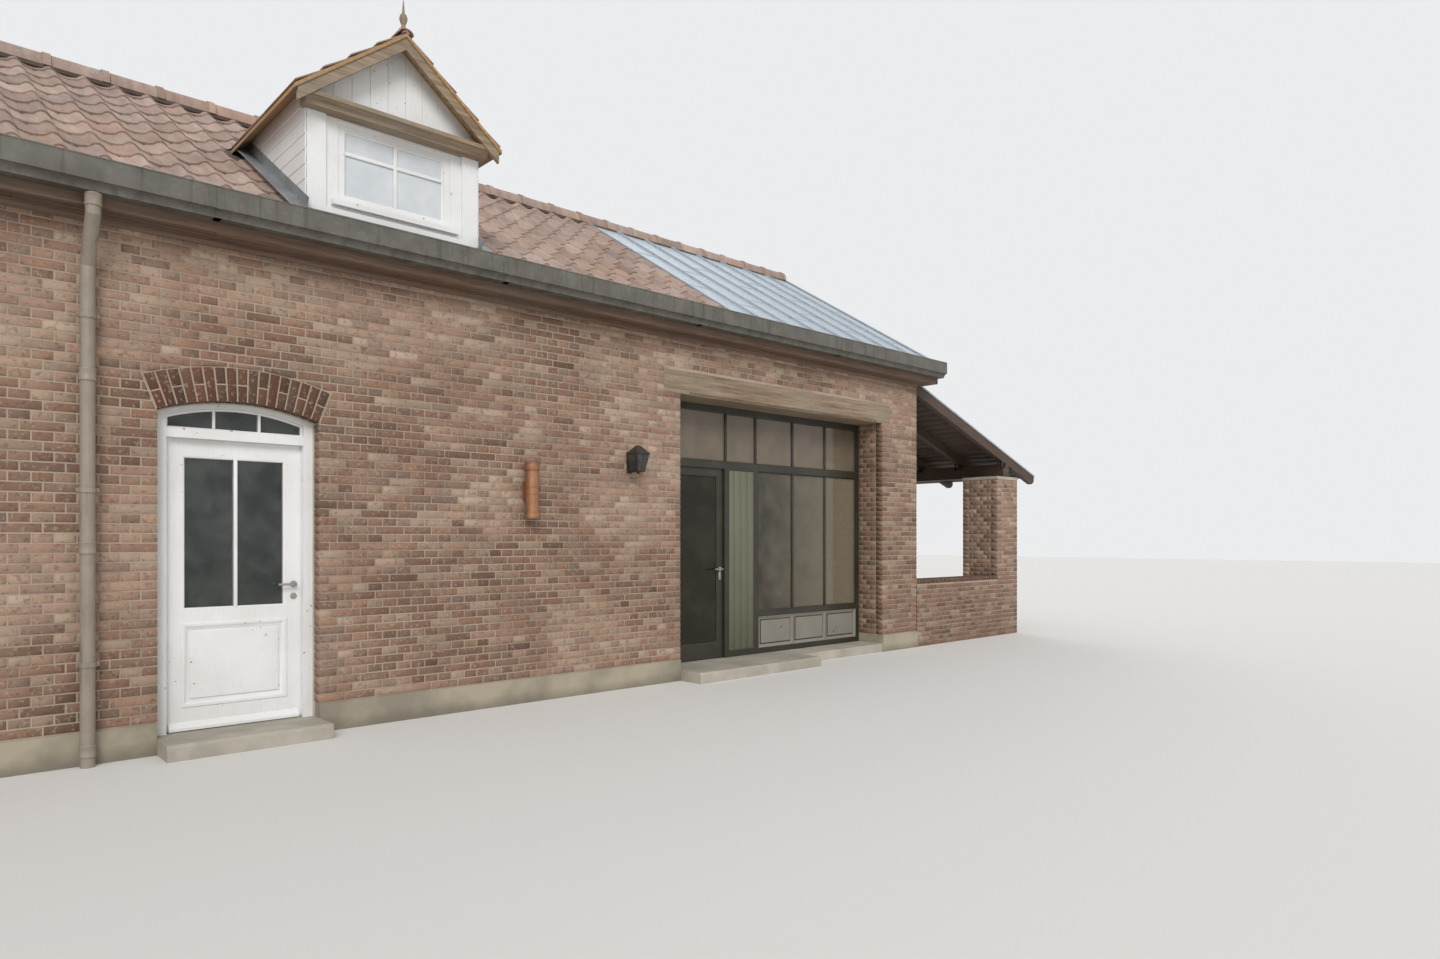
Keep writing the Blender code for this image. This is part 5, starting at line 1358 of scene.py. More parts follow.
def oblong(low: Pair, high: Pair, way: int) -> list[Pair]:
    """Corners of an upright oblong, in the axes that facing() gives."""
    left, right = (low[0], high[0]) if way < 0 else (-high[0], -low[0])
    return [(left, low[1]), (right, low[1]), (right, high[1]), (left, high[1])]


def arch_path(left: float, right: float, spring: float, rise: float, steps: int = 16) -> list[Pair]:
    """Points of a segmental arch from its right foot over the crown to its left foot.

    Args:
        left: Place of the left foot.
        right: Place of the right foot.
        spring: Height of the feet.
        rise: Height of the crown over them.
        steps: How many straight pieces it has.

    Returns:
        The points.
    """
    half = (right - left) / 2
    radius = (half * half + rise * rise) / (2 * rise)
    spread = math.asin(half / radius)
    turns = [spread - 2 * spread * k / steps for k in range(steps + 1)]
    return [((left + right) / 2 + radius * math.sin(t), spring + rise - radius + radius * math.cos(t))
            for t in turns]


def lever(door: str) -> Vector:
    """Where the spindle of a door's lever crosses the middle of the leaf."""
    low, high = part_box(door + "_handle")
    pane_low, pane_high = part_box(door + "_glass")
    return Vector((high.x - 0.024, (pane_low.y + pane_high.y) / 2, (low.z + high.z) / 2))


BEAD = ((0.0, 0.0), (0.013, 0.0), (0.013, 0.003), (0.010, 0.008), (0.005, 0.011), (0.0, 0.012))
LOW_BEAD = tuple((a, b / 2) for a, b in BEAD)
OGEE = ((0.0, 0.0), (0.034, 0.0), (0.034, 0.003), (0.026, 0.005), (0.020, 0.010), (0.012, 0.014),
        (0.006, 0.0175), (-0.008, 0.0175), (-0.012, 0.0145), (-0.012, 0.012), (0.0, 0.012))
HALF_OGEE = OGEE[:7] + ((0.0, 0.0175),)
FILLET = ((0.0, 0.0), (-0.004, 0.0), (-0.004, 0.014), (0.0, 0.014), (0.006, 0.010), (0.012, 0.004),
          (0.012, 0.0))
ESCUTCHEON = ((0.0, 0.0), (0.023, 0.0), (0.023, 0.003), (0.020, 0.006), (0.011, 0.0065), (0.0105, 0.004),
              (0.009, 0.004), (0.009, 0.009), (0.0, 0.0095))
CYLINDER = ((0.0, 0.0), (0.0085, 0.0), (0.0085, 0.0055), (0.007, 0.007), (0.0, 0.0072))
LIFT = 0.0004
PANE_LIFT = 0.0006


class Planks(Swarm):
    """Boards and battens with eased edges, joined into one mesh."""

    half = 0.01

    def __init__(self, seed: int, edge: float) -> None:
        """Model one short board with eased edges of some width."""
        super().__init__(seed)
        self.board = Shape(box((-self.half,) * 3, (self.half,) * 3, edge))

    def lay(self, low: Sequence[float], high: Sequence[float], place: Matrix = Matrix.Identity(4)) -> None:
        """Lay a board between two opposite corners.

        Args:
            low: One corner in the board's own axes.
            high: The other corner.
            place: From its own axes to the house's.
        """
        stretch = [abs(b - a) / 2 - self.half for a, b in zip(low, high)]
        self.add(self.board, place @ Matrix.Translation((Vector(high) + Vector(low)) / 2), stretch)


@dataclass
class Glazing:
    """Beads round a pane on both faces, and bars that divide it."""

    pane: str
    material: Material
    slot: str
    body: str = HOUSE
    upright: tuple[float, ...] = ()
    level: tuple[float, ...] = ()
    bar: float = 0.024
    stand: float = 0.014
    sunk: float = 0.0012
    inset: float = 0.004

    def build(self) -> None:
        """Model the beads and bars."""
        low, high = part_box(self.pane)
        half, inset = self.bar / 2, self.inset
        bm = bmesh.new()
        for way, face in both_faces(self.pane):
            near, far = face + way * PANE_LIFT, face + way * self.stand
            edging(BEAD, oblong((low.x, low.z), (high.x, high.z), way), facing(near, way), bm)
            for share in self.upright:
                x = low.x + (high.x - low.x) * share
                box((x - half, near, low.z + inset), (x + half, far, high.z - inset), 0.004, bm, segments=2)
            for share in self.level:
                z = low.z + (high.z - low.z) * share
                box((low.x + inset, near + way * self.sunk, z - half),
                    (high.x - inset, far - way * self.sunk, z + half), 0.004, bm, segments=2)
        place_piece(self.pane + "_beads", bm, self.material, self.body, smooth=35.0)


@dataclass
class FrontDoor:
    """Mouldings and fittings of the half-glazed front door and its frame."""

    white: Material
    steel: Material
    mortar: Material
    leaf_thickness: float = 0.045
    panel_low: float = 0.266
    panel_high: float = 0.800
    panel_recess: float = 0.012
    fanlight_rise: float = 0.073
    fanlight_bar: float = 0.018
    keyhole_drop: float = 0.085

    def panel(self) -> None:
        """Lead a moulding round the sunk panel of the leaf, on both faces."""
        low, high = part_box("front_door_glass")
        bm = bmesh.new()
        for way in (-1, 1):
            floor = (low.y + high.y) / 2 + way * (self.leaf_thickness / 2 - self.panel_recess + PANE_LIFT)
            path = oblong((low.x, self.panel_low), (high.x, self.panel_high), way)
            edging(OGEE, path, facing(floor, way), bm)
        place_piece("front_door_panel_moulding", bm, self.white, FRONT_LEAF, smooth=35.0)

    def keyhole(self) -> None:
        """Put a round escutcheon with a lock cylinder under the lever, on both faces."""
        spot = lever("front_door")
        bm = bmesh.new()
        for way in (-1, 1):
            move = Vector((0, way * (self.leaf_thickness / 2 + PANE_LIFT), -self.keyhole_drop))
            turned(ESCUTCHEON, 24, Matrix.Translation(spot + move) @ upright(way), bm)
        place_piece("front_door_escutcheon", bm, self.steel, FRONT_LEAF, smooth=30.0)

    def fanlight(self) -> None:
        """Bead the fanlight and divide it with two slim bars."""
        low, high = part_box("fanlight_glass")
        half = self.fanlight_bar / 2
        bm = bmesh.new()
        for way, face in both_faces("fanlight_glass"):
            left, right = (low.x, high.x) if way < 0 else (-high.x, -low.x)
            path = [(left, low.z), (right, low.z)]
            path += arch_path(left, right, high.z - self.fanlight_rise, self.fanlight_rise)
            near, far = face + way * PANE_LIFT, face + way * 0.013
            edging(BEAD, path, facing(near, way), bm)
            for share in (1 / 3, 2 / 3):
                x = low.x + (high.x - low.x) * share
                box((x - half, near, low.z + 0.004), (x + half, far, high.z - 0.014), 0.003, bm)
        place_piece("fanlight_beads", bm, self.white, smooth=35.0)

    def pointing(self) -> None:
        """Point the joint between the frame and the brick reveal with a lime fillet."""
        low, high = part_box("door_frame")
        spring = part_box("door_arch")[0].z
        path = [(high.x, low.z), (high.x, spring)]
        path += arch_path(low.x, high.x, spring, high.z - spring)[1:-1]
        path += [(low.x, spring), (low.x, low.z)]
        bm = bmesh.new()
        edging(FILLET, path, facing(low.y - LIFT, -1), bm, closed=False)
        place_piece("door_frame_pointing", bm, self.mortar)

    def build(self) -> None:
        """Dress the door."""
        Glazing("front_door_glass", self.white, "white_paint", FRONT_LEAF, (0.5,)).build()
        self.panel()
        self.keyhole()
        self.fanlight()
        self.pointing()


@dataclass
class Entrance:
    """Beads, bars and panels of the glazed entrance."""

    dark: Material
    green: Material
    pale: Material
    steel: Material
    boards: int = 4
    board_thickness: float = 0.009
    board_gap: float = 0.0008
    low_panels: int = 3
    low_recess: float = 0.020
    low_gap: float = 0.003
    low_margin: float = 0.045
    low_bottom: float = 0.16
    low_top: float = 0.51
    bar: float = 0.032
    leaf_face: float = 0.0231

    def boarded_panel(self) -> None:
        """Cover the painted panel with upright boards."""
        low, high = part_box("entrance_panel")
        planks = Planks(41, 0.003)
        width = (high.x - low.x) / self.boards
        for index in range(self.boards):
            start = low.x + width * index + self.board_gap
            end = start + width - 2 * self.board_gap
            for way, face in both_faces("entrance_panel"):
                planks.lay((start, face + way * LIFT, low.z + 0.001),
                           (end, face + way * self.board_thickness, high.z - 0.001))
        planks.place("entrance_panel_boards", self.green, "grey_green_paint")
        bm = bmesh.new()
        for way, face in both_faces("entrance_panel"):
            path = oblong((low.x, low.z), (high.x, high.z), way)
            edging(LOW_BEAD, path, facing(face + way * (self.board_thickness + LIFT), way), bm)
        place_piece("entrance_panel_beads", bm, self.dark, smooth=35.0)

    def low_panels_row(self) -> None:
        """Set pale raised panels into the sunk field under the side light."""
        pane_low, pane_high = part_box("entrance_side_glass")
        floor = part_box("entrance_frame")[0].y + self.low_recess
        width, gap, margin = (pane_high.x - pane_low.x) / self.low_panels, self.low_gap, self.low_margin
        bottom, top = self.low_bottom + gap, self.low_top - gap
        bm = bmesh.new()
        for index in range(self.low_panels):
            left = pane_low.x + width * index + gap
            right = left + width - 2 * gap
            box((left + margin, floor - 0.013, bottom + margin), (right - margin, floor - LIFT, top - margin),
                0.006, bm)
            edging(HALF_OGEE, oblong((left, bottom), (right, top), -1), facing(floor - LIFT, -1), bm)
        place_piece("entrance_low_panels", bm, self.pale, smooth=30.0)

    def keyhole(self) -> None:
        """Put a long plate with a lock cylinder behind each lever."""
        x, middle, z = lever("entrance_door")
        bm = bmesh.new()
        for way in (-1, 1):
            face = middle + way * self.leaf_face
            box((x - 0.017, face, z - 0.115), (x + 0.017, face + way * 0.004, z - 0.030), 0.0035, bm,
                segments=2)
            spot = Matrix.Translation((x, face + way * 0.0035, z - 0.088))
            turned(CYLINDER, 20, spot @ upright(way), bm)
        place_piece("entrance_door_escutcheon", bm, self.steel, ENTRANCE_LEAF, smooth=30.0)

    def build(self) -> None:
        """Dress the entrance."""
        panel, side, top = (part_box("entrance_" + part) for part in ("panel", "side_glass", "top_glass"))
        marks = [panel[0].x - 0.03, panel[1].x + 0.03]
        marks += [side[0].x + (side[1].x - side[0].x) * k / 3 for k in (1, 2)]
        shares = tuple((x - top[0].x) / (top[1].x - top[0].x) for x in marks)
        Glazing("entrance_door_glass", self.dark, "dark_paint", ENTRANCE_LEAF).build()
        Glazing("entrance_side_glass", self.dark, "dark_paint", HOUSE, (1 / 3, 2 / 3), bar=self.bar).build()
        Glazing("entrance_top_glass", self.dark, "dark_paint", HOUSE, shares, bar=self.bar).build()
        self.boarded_panel()
        self.low_panels_row()
        self.keyhole()


@dataclass
class Dormer:
    """Boards, window bars, flashings and tiles of the dormer."""

    white: Material
    clay: Material
    lead: Material
    timber: Material
    roof_thickness: float = 0.060
    board: float = 0.105
    board_thickness: float = 0.009
    gable_boards_count: int = 9
    gable_margin: float = 0.05
    cornice: float = 0.0925
    lean: float = 0.035
    tile_width: float = 0.165
    tile_exposure: float = 0.120
    tile_length: float = 0.252
    tile_thickness: float = 0.011
    valley: float = 0.030
    cap_length: float = 0.30

    def __post_init__(self) -> None:
        """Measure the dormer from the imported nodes."""
        self.low, self.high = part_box("dormer_front")
        self.middle = (self.low.x + self.high.x) / 2
        self.roof_low, roof_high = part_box("dormer_roof_left")
        self.apex = roof_high.z
        self.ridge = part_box("roof_tiles_front")[1].z
        self.half = (self.high.x - self.low.x) / 2
        self.into_roof = Vector((0, math.sin(MAIN_PITCH), -math.cos(MAIN_PITCH)))
        self.slope = Matrix.Rotation(MAIN_PITCH, 4, "X")

    def main_roof(self, y: float) -> float:
        """Height of the main roof's top at a distance from the ridge."""
        return self.ridge - abs(y) * math.tan(MAIN_PITCH)

    def underside(self, x: float) -> float:
        """Height of the dormer roof's underside at a distance from its middle."""
        return self.apex - self.roof_thickness - abs(x) * math.tan(DORMER_PITCH)

    def gable_boards(self) -> None:
        """Board the triangle over the cornice with upright boards."""
        window_low, window_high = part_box("dormer_window_frame")
        face, base, top = window_low.y - 0.010, window_high.z + self.cornice, self.underside(0) + 0.02
        width = 2 * (self.half - self.gable_margin) / self.gable_boards_count
        peak = Vector((self.middle, 0, self.underside(0) - 0.0012))
        bm = bmesh.new()
        for index in range(self.gable_boards_count):
            start = self.middle - self.half + self.gable_margin + width * index
            own = box((start + 0.0008, face - self.board_thickness, base + 0.001),
                      (start + width - 0.0008, face - LIFT, top), 0.0025)
            for way in (-1, 1):
                trim(own, (peak, Vector((way * math.sin(DORMER_PITCH), 0, math.cos(DORMER_PITCH)))))
            merged(own, bm)
        place_piece("dormer_gable_boards", bm, self.white)

    def cheek_boards(self) -> None:
        """Lap boards over both cheeks, cut to the main roof's slope."""
        head = self.underside(self.half) - 0.004
        rows = math.ceil((head - self.main_roof(self.low.y)) / self.board)
        bm = bmesh.new()
        for side in (-1, 1):
            near = self.middle + side * (self.half + LIFT)
            for row in range(rows):
                top = head - row * self.board
                own = box((near, self.low.y + 0.024, top - self.board - 0.012),
                          (near + side * self.board_thickness, -0.6, top), 0.002)
                hinge = Matrix.Translation((near, 0, top))
                lean = hinge @ Matrix.Rotation(-side * self.lean, 4, "Y") @ hinge.inverted()
                bmesh.ops.transform(own, matrix=lean, verts=own.verts)
                inside = min(0.0, min(side * (v.co.x - near) for v in own.verts))
                bmesh.ops.translate(own, verts=own.verts, vec=(-side * inside, 0, 0))
                trim(own, (Vector((0, 0, self.ridge + 0.004)), self.into_roof))
                if len(own.faces) > 3:
                    merged(own, bm)
        place_piece("dormer_cheek_boards", bm, self.white)

    def flashings(self) -> None:
        """Dress lead along the foot of the cheeks and under the sill."""
        bm = bmesh.new()
        front, height = self.low.y, self.main_roof(self.low.y)
        length = (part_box("dormer_cheek_left")[1].y - front) / math.cos(MAIN_PITCH) - 0.14
        for side in (-1, 1):
            x = self.middle + side * (self.half + 0.011)
            place = Matrix.Translation((x, front, height + 0.001)) @ self.slope
            box((0, -0.02, -0.0015), (side * 0.11, length, 0.0035), 0.001, bm, place)
            box((0, -0.02, 0.0), (side * 0.004, length, 0.075), 0.001, bm, place)
        place = Matrix.Translation((self.middle, front, height + 0.0015)) @ self.slope
        box((-self.half - 0.10, -0.135, -0.001), (self.half + 0.10, 0.0, 0.0035), 0.001, bm, place)
        place_piece("dormer_flashings", bm, self.lead)

    def roof(self) -> None:
        """Tile both slopes of the dormer's roof with flat tiles."""
        half = self.tile_width / 2 - 0.001
        tile = Shape(box((-half, 0.0, -self.tile_thickness), (half, self.tile_length, 0.0), 0.003))
        run = (self.middle - self.roof_low.x) / math.cos(DORMER_PITCH)
        rows = math.ceil((run - 0.02) / self.tile_exposure)
        count = math.ceil(-self.roof_low.y / self.tile_width)
        tilt = Matrix.Rotation(-math.asin(2 * self.tile_thickness / self.tile_length), 4, "X")
        swarm = Swarm(91)
        for side in (-1, 1):
            down = Vector((side * math.cos(DORMER_PITCH), 0, -math.sin(DORMER_PITCH)))
            out = Vector((side * math.sin(DORMER_PITCH), 0, math.cos(DORMER_PITCH)))
            turn = Matrix((out.cross(down), -down, out)).transposed().to_4x4()
            for row in range(rows):
                lower = run - row * self.tile_exposure - 0.004
                for index in range(count):
                    y = self.roof_low.y + 0.006 + self.tile_width * (index + 0.5 + 0.5 * (row % 2))
                    valley = (self.apex - self.main_roof(y - self.tile_width)) / math.sin(DORMER_PITCH)
                    if y > -0.05 or (lower - self.tile_length > valley + 0.12 and y > -1.5):
                        continue
                    wobble = Matrix.Rotation(swarm.random.uniform(-0.008, 0.008), 4, "Z")
                    spot = Vector((self.middle, y, self.apex)) + down * lower - out * 0.0012
                    self.cut_tile(tile, Matrix.Translation(spot) @ turn @ tilt @ wobble, side, swarm)
        swarm.place("dormer_roof_tiles", self.clay, "roof_tile")

    def boarding(self) -> None:
        """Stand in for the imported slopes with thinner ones, which the tiles lie on."""
        for node in ("dormer_roof_left", "dormer_roof_right"):
            bm = copied(node)
            for vert in bm.verts:
                top = self.apex - abs(vert.co.x - self.middle) * math.tan(DORMER_PITCH)
                if vert.co.z > top - 0.004:
                    vert.co.z -= self.tile_thickness * 2.9
            place_piece(node + "_boarding", bm, self.timber, HOUSE, (node,))

    def cut_tile(self, tile: Shape, place: Matrix, side: int, swarm: Swarm) -> None:
        """Add a tile, cut along the ridge, the front and the valley.

        Args:
            tile: The tile.
            place: Where it goes.
            side: The slope it lies on.
            swarm: Takes it.
        """
        points = [place @ Vector(p) for p in tile.points]
        front = self.roof_low.y + 0.002
        cuts = []
        if min(side * (p.x - self.middle) for p in points) < 0.002:
            cuts.append((Vector((self.middle + side * 0.002, 0, 0)), Vector((-side, 0, 0))))
        if min(p.y for p in points) < front:
            cuts.append((Vector((0, front, 0)), SOUTH))
        if any(p.z < self.main_roof(p.y) - self.valley for p in points):
            cuts.append((Vector((0, 0, self.ridge - self.valley)), self.into_roof))
        if cuts:
            swarm.add_cut(points, tile, cuts)
        else:
            swarm.add(tile, place)

    def ridge_caps(self) -> None:
        """Cover the dormer's ridge with small half-round caps."""
        swarm = Swarm(93)
        start = self.roof_low.y + 0.004
        end = -(self.ridge - self.apex + 0.02) / math.tan(MAIN_PITCH)
        count = round((end - start) / self.cap_length)
        pitch = (end - start) / count
        turns = [math.pi * k / 8 for k in range(9)]
        line = [(0.058 * math.cos(t), -pitch / 2, 0.040 * math.sin(t)) for t in turns]
        cap = curved_sheet(line, (0, pitch + 0.02, 0), 0.008)
        for index in range(count):
            spot = (self.middle, start + pitch * (index + 0.5), self.apex - 0.036)
            swarm.add(cap, Matrix.Translation(spot) @ Matrix.Rotation(-0.018, 4, "X"))
        swarm.place("dormer_ridge_caps", self.clay, "roof_tile", smooth=40.0)

    def build(self) -> None:
        """Dress the dormer."""
        Glazing("dormer_glass", self.white, "white_paint", HOUSE, (0.5,), (0.66,), bar=0.028).build()
        self.gable_boards()
        self.cheek_boards()
        self.flashings()
        self.roof()
        self.boarding()
        self.ridge_caps()


@dataclass
class BoxGutters:
    """Sheet-metal box gutters with a rolled rim, joint bands and stays, and the downpipes' sockets."""

    zinc: Material
    pipe: Material
    timber: Material
    inset: float = 0.0035
    sheet: float = 0.010
    cove: float = 0.045
    cove_steps: int = 7
    rim: float = 0.0068
    back_height: float = 0.085
    end: float = 0.004
    joint_spacing: float = 1.98
    stay_spacing: float = 0.66
    pipe_stand: float = 0.0597
    socket_heights: tuple[float, ...] = (0.06, 1.28, 2.32)
    lowest_clip: float = 0.60
    highest_clip: float = 0.70
    clips: int = 3
    soffit_rows: int = 3
    soffit_bays: int = 6
    soffit_board: float = 0.006

    def arc(self, width: float, cove: float) -> list[Pair]:
        """The hollow along the bottom of a gutter, from its underside to its face."""
        turns = [math.pi / 2 * k / self.cove_steps for k in range(self.cove_steps)]
        return [(width - cove * math.cos(t), cove * math.sin(t)) for t in turns]

    def section(self, width: float, height: float) -> list[Pair]:
        """Section of a gutter of some outer size, as (outwards from the fascia, upwards) pairs."""
        face, sheet, cove = width - self.inset, self.sheet, self.cove + self.inset
        floor, top = self.cove + self.sheet, height - self.rim
        outer = [(0.0, 0.0)] + self.arc(width, cove) + [(face, cove), (face, top)]
        return outer + [(face - sheet, top), (face - sheet, floor + 0.004), (face - sheet - 0.004, floor),
                        (sheet, floor - 0.002), (sheet, self.back_height), (0.0, self.back_height)]

    def gutter(self, name: str, way: int) -> None:
        """Model one gutter.

        Args:
            name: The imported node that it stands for.
            way: -1 on the front and 1 on the rear.
        """
        low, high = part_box(name)
        width, height, rim = high.y - low.y, high.z - low.z, self.rim
        back, out = high.y if way < 0 else low.y, Vector((0, way, 0))
        bm = bmesh.new()
        start, end = Vector((low.x + self.end, back, low.z)), Vector((high.x - self.end, back, low.z))
        moulded(self.section(width, height), start, end, out, bm)
        turns = [math.tau * k / 12 for k in range(12)]
        roll = [(width - rim + rim * math.cos(t), height - rim + rim * math.sin(t)) for t in turns]
        moulded(roll, start, end, out, bm)
        stop = self.section(width, height)[:self.cove_steps + 3]
        stop += [(width * 0.42, height - rim), (0.0, height - self.back_height)]
        for x in (low.x, high.x - self.end):
            moulded(stop, Vector((x, back, low.z)), Vector((x + self.end, back, low.z)), out, bm)
        self.bands(bm, low, high, back, out)
        place_piece(name + "_box", bm, self.zinc, HOUSE, (name,), 28.0)

    def bands(self, bm: BMesh, low: Vector, high: Vector, back: float, out: Vector) -> None:
        """Add the soldered bands over the joints and the stays across the top.

        Args:
            bm: Takes them.
            low: The gutter's lowest corner.
            high: Its highest corner.
            back: The Y of the fascia.
            out: Outwards from it.
        """
        width, length = high.y - low.y, high.x - low.x
        top, arc = high.z - low.z - 2.3 * self.rim, self.arc(width, self.cove)
        band = [(0.02, 0.0)] + arc + [(width, self.cove), (width, top), (width - 0.005, top)]
        band += [(width - 0.005, self.cove + 0.004)] + [(a - 0.004, b + 0.004) for a, b in reversed(arc)]
        band += [(0.02, 0.004)]
        joints = round(length / self.joint_spacing)
        for index in range(1, joints):
            x = low.x + length * index / joints
            moulded(band, Vector((x - 0.022, back, low.z)), Vector((x + 0.022, back, low.z)), out, bm)
        stays = round(length / self.stay_spacing)
        for index in range(stays):
            x = low.x + length * (index + 0.5) / stays
            box((x - 0.011, back + out.y * 0.052, high.z - 0.0035),
                (x + 0.011, back + out.y * (width - 0.004), high.z - 0.0002), 0.001, bm)
            spot = (x, back + out.y * (width - 0.012), high.z - 0.0012)
            turned([(0, 0), (0.005, 0), (0.005, 0.0012), (0, 0.0012)], 8, Matrix.Translation(spot), bm)

    def sockets(self, name: str, way: int) -> None:
        """Add the downpipe's outlet collar, sockets and clip bolts.

        Args:
            name: The packed downpipe.
            way: -1 on the front and 1 on the rear.
        """
        low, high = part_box(name)
        x = (low.x + high.x) / 2
        wall, far = (high.y, low.y) if way < 0 else (low.y, high.y)
        line, mouth = wall + way * self.pipe_stand, far - way * 0.040
        ring = [(0.0402, 0.0), (0.0445, 0.0), (0.0462, 0.003), (0.0462, 0.010), (0.0440, 0.014),
                (0.0440, 0.062), (0.0462, 0.066), (0.0462, 0.072), (0.0445, 0.075), (0.0402, 0.075),
                (0.0402, 0.0)]
        bm = bmesh.new()
        for z in self.socket_heights:
            turned(ring, 28, Matrix.Translation((x, line, z)), bm)
        turned(ring, 28, Matrix.Translation((x, mouth, high.z - 0.078)), bm)
        for index in range(self.clips):
            climb = (high.z - self.highest_clip - self.lowest_clip) * index / (self.clips - 1)
            for side in (-1, 1):
                spot = Vector((x + side * 0.051, line, self.lowest_clip + climb + 0.015))
                half = Vector((0.008, 0.006, 0.013))
                box(spot - half, spot + half, 0.002, bm)
                bolt = Matrix.Translation(spot + Vector((0, way * 0.0055, 0))) @ upright(way)
                turned([(0, 0), (0.006, 0), (0.006, 0.004), (0, 0.004)], 6, bolt, bm)
        place_piece(name + "_sockets", bm, self.pipe, smooth=35.0)

    def soffit(self, name: str, way: int) -> None:
        """Board the underside of the eaves and put a small cove against the wall.

        Args:
            name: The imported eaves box.
            way: -1 on the front and 1 on the rear.
        """
        low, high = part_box(name)
        planks = Planks(51 + way, 0.002)
        near, depth = high.y if way < 0 else low.y, (high.y - low.y) / self.soffit_rows
        span, bottom = (high.x - low.x) / self.soffit_bays, low.z - self.soffit_board
        for row in range(self.soffit_rows):
            first, second = near + way * depth * row, near + way * (depth * (row + 1) - 0.003)
            shift = span * 0.5 * (row % 2)
            for index in range(self.soffit_bays + 1):
                start = max(low.x, low.x + span * index - shift)
                end = min(high.x, low.x + span * (index + 1) - shift)
                if end - start > 0.05:
                    planks.lay((start + 0.001, first, bottom), (end - 0.001, second, low.z - LIFT))
        planks.place(name + "_boards", self.timber, "dark_boards")
        cove = [(0.0, 0.0), (0.0, -0.034), (0.008, -0.034)]
        cove += [(0.034 - 0.026 * math.cos(t), -0.034 + 0.026 * math.sin(t)) for t in (0.3, 0.7, 1.1, 1.4)]
        cove += [(0.034, -0.007), (0.034, 0.0)]
        y, z = near + way * 0.0045, bottom - LIFT
        left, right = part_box("left_gable")[0].x + 0.015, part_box("right_gable")[1].x - 0.015
        bm = moulded(cove, Vector((left, y, z)), Vector((right, y, z)), Vector((0, way, 0)))
        place_piece(name + "_cove", bm, self.timber, smooth=40.0)

    def build(self) -> None:
        """Model both gutters and what hangs from them."""
        models = {"gutter_": self.gutter, "downpipe_": self.sockets, "eaves_box_": self.soffit}
        for node, model in models.items():
            model(node + "front", -1)
            model(node + "rear", 1)


@dataclass
class SheetRoof:
    """Rolled seams, cross welts and edge trims of the sheet-covered end of the roof."""

    sheet: Material
    seam_spacing: float = 0.44
    seam_height: float = 0.025
    roll: float = 0.010

    def slope(self, node: str, way: int) -> None:
        """Dress one slope.

        Args:
            node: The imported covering.
            way: -1 on the front and 1 on the rear.
        """
        low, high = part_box(node)
        run, roll = (high.y if way > 0 else -low.y) / math.cos(MAIN_PITCH), self.roll
        axes = slope_axes(high.z, way)
        bays = round((high.x - low.x) / self.seam_spacing)
        pitch = (high.x - low.x) / bays
        bottom = -self.seam_height - 0.001
        turns = [math.tau * k / 10 for k in range(10)]
        bm = bmesh.new()
        for index in range(bays + 1):
            x = min(max(low.x + pitch * index, low.x + roll + 0.002), high.x - roll - 0.002)
            ring = [(x * way + roll * math.cos(t), 0.13, roll * math.sin(t) - roll) for t in turns]
            prism(ring, (0, run - 0.135, 0), bm, axes)
        for index in range(bays):
            left, right = low.x + pitch * index + 0.014, low.x + pitch * (index + 1) - 0.014
            for part in (1, 2):
                s = run * (part + (0.35 if index % 2 else 0.0)) / 3
                box((left * way, s - 0.012, bottom), (right * way, s + 0.012, bottom + 0.0065), 0.002,
                    bm, axes)
        box((low.x * way, run - 0.030, bottom), (high.x * way, run - 0.001, bottom + 0.005), 0.0015, bm, axes)
        place_piece(node + "_seams", bm, self.sheet, smooth=40.0)

    def build(self) -> None:
        """Dress both slopes."""
        self.slope("roof_sheet_front", -1)
        self.slope("roof_sheet_rear", 1)


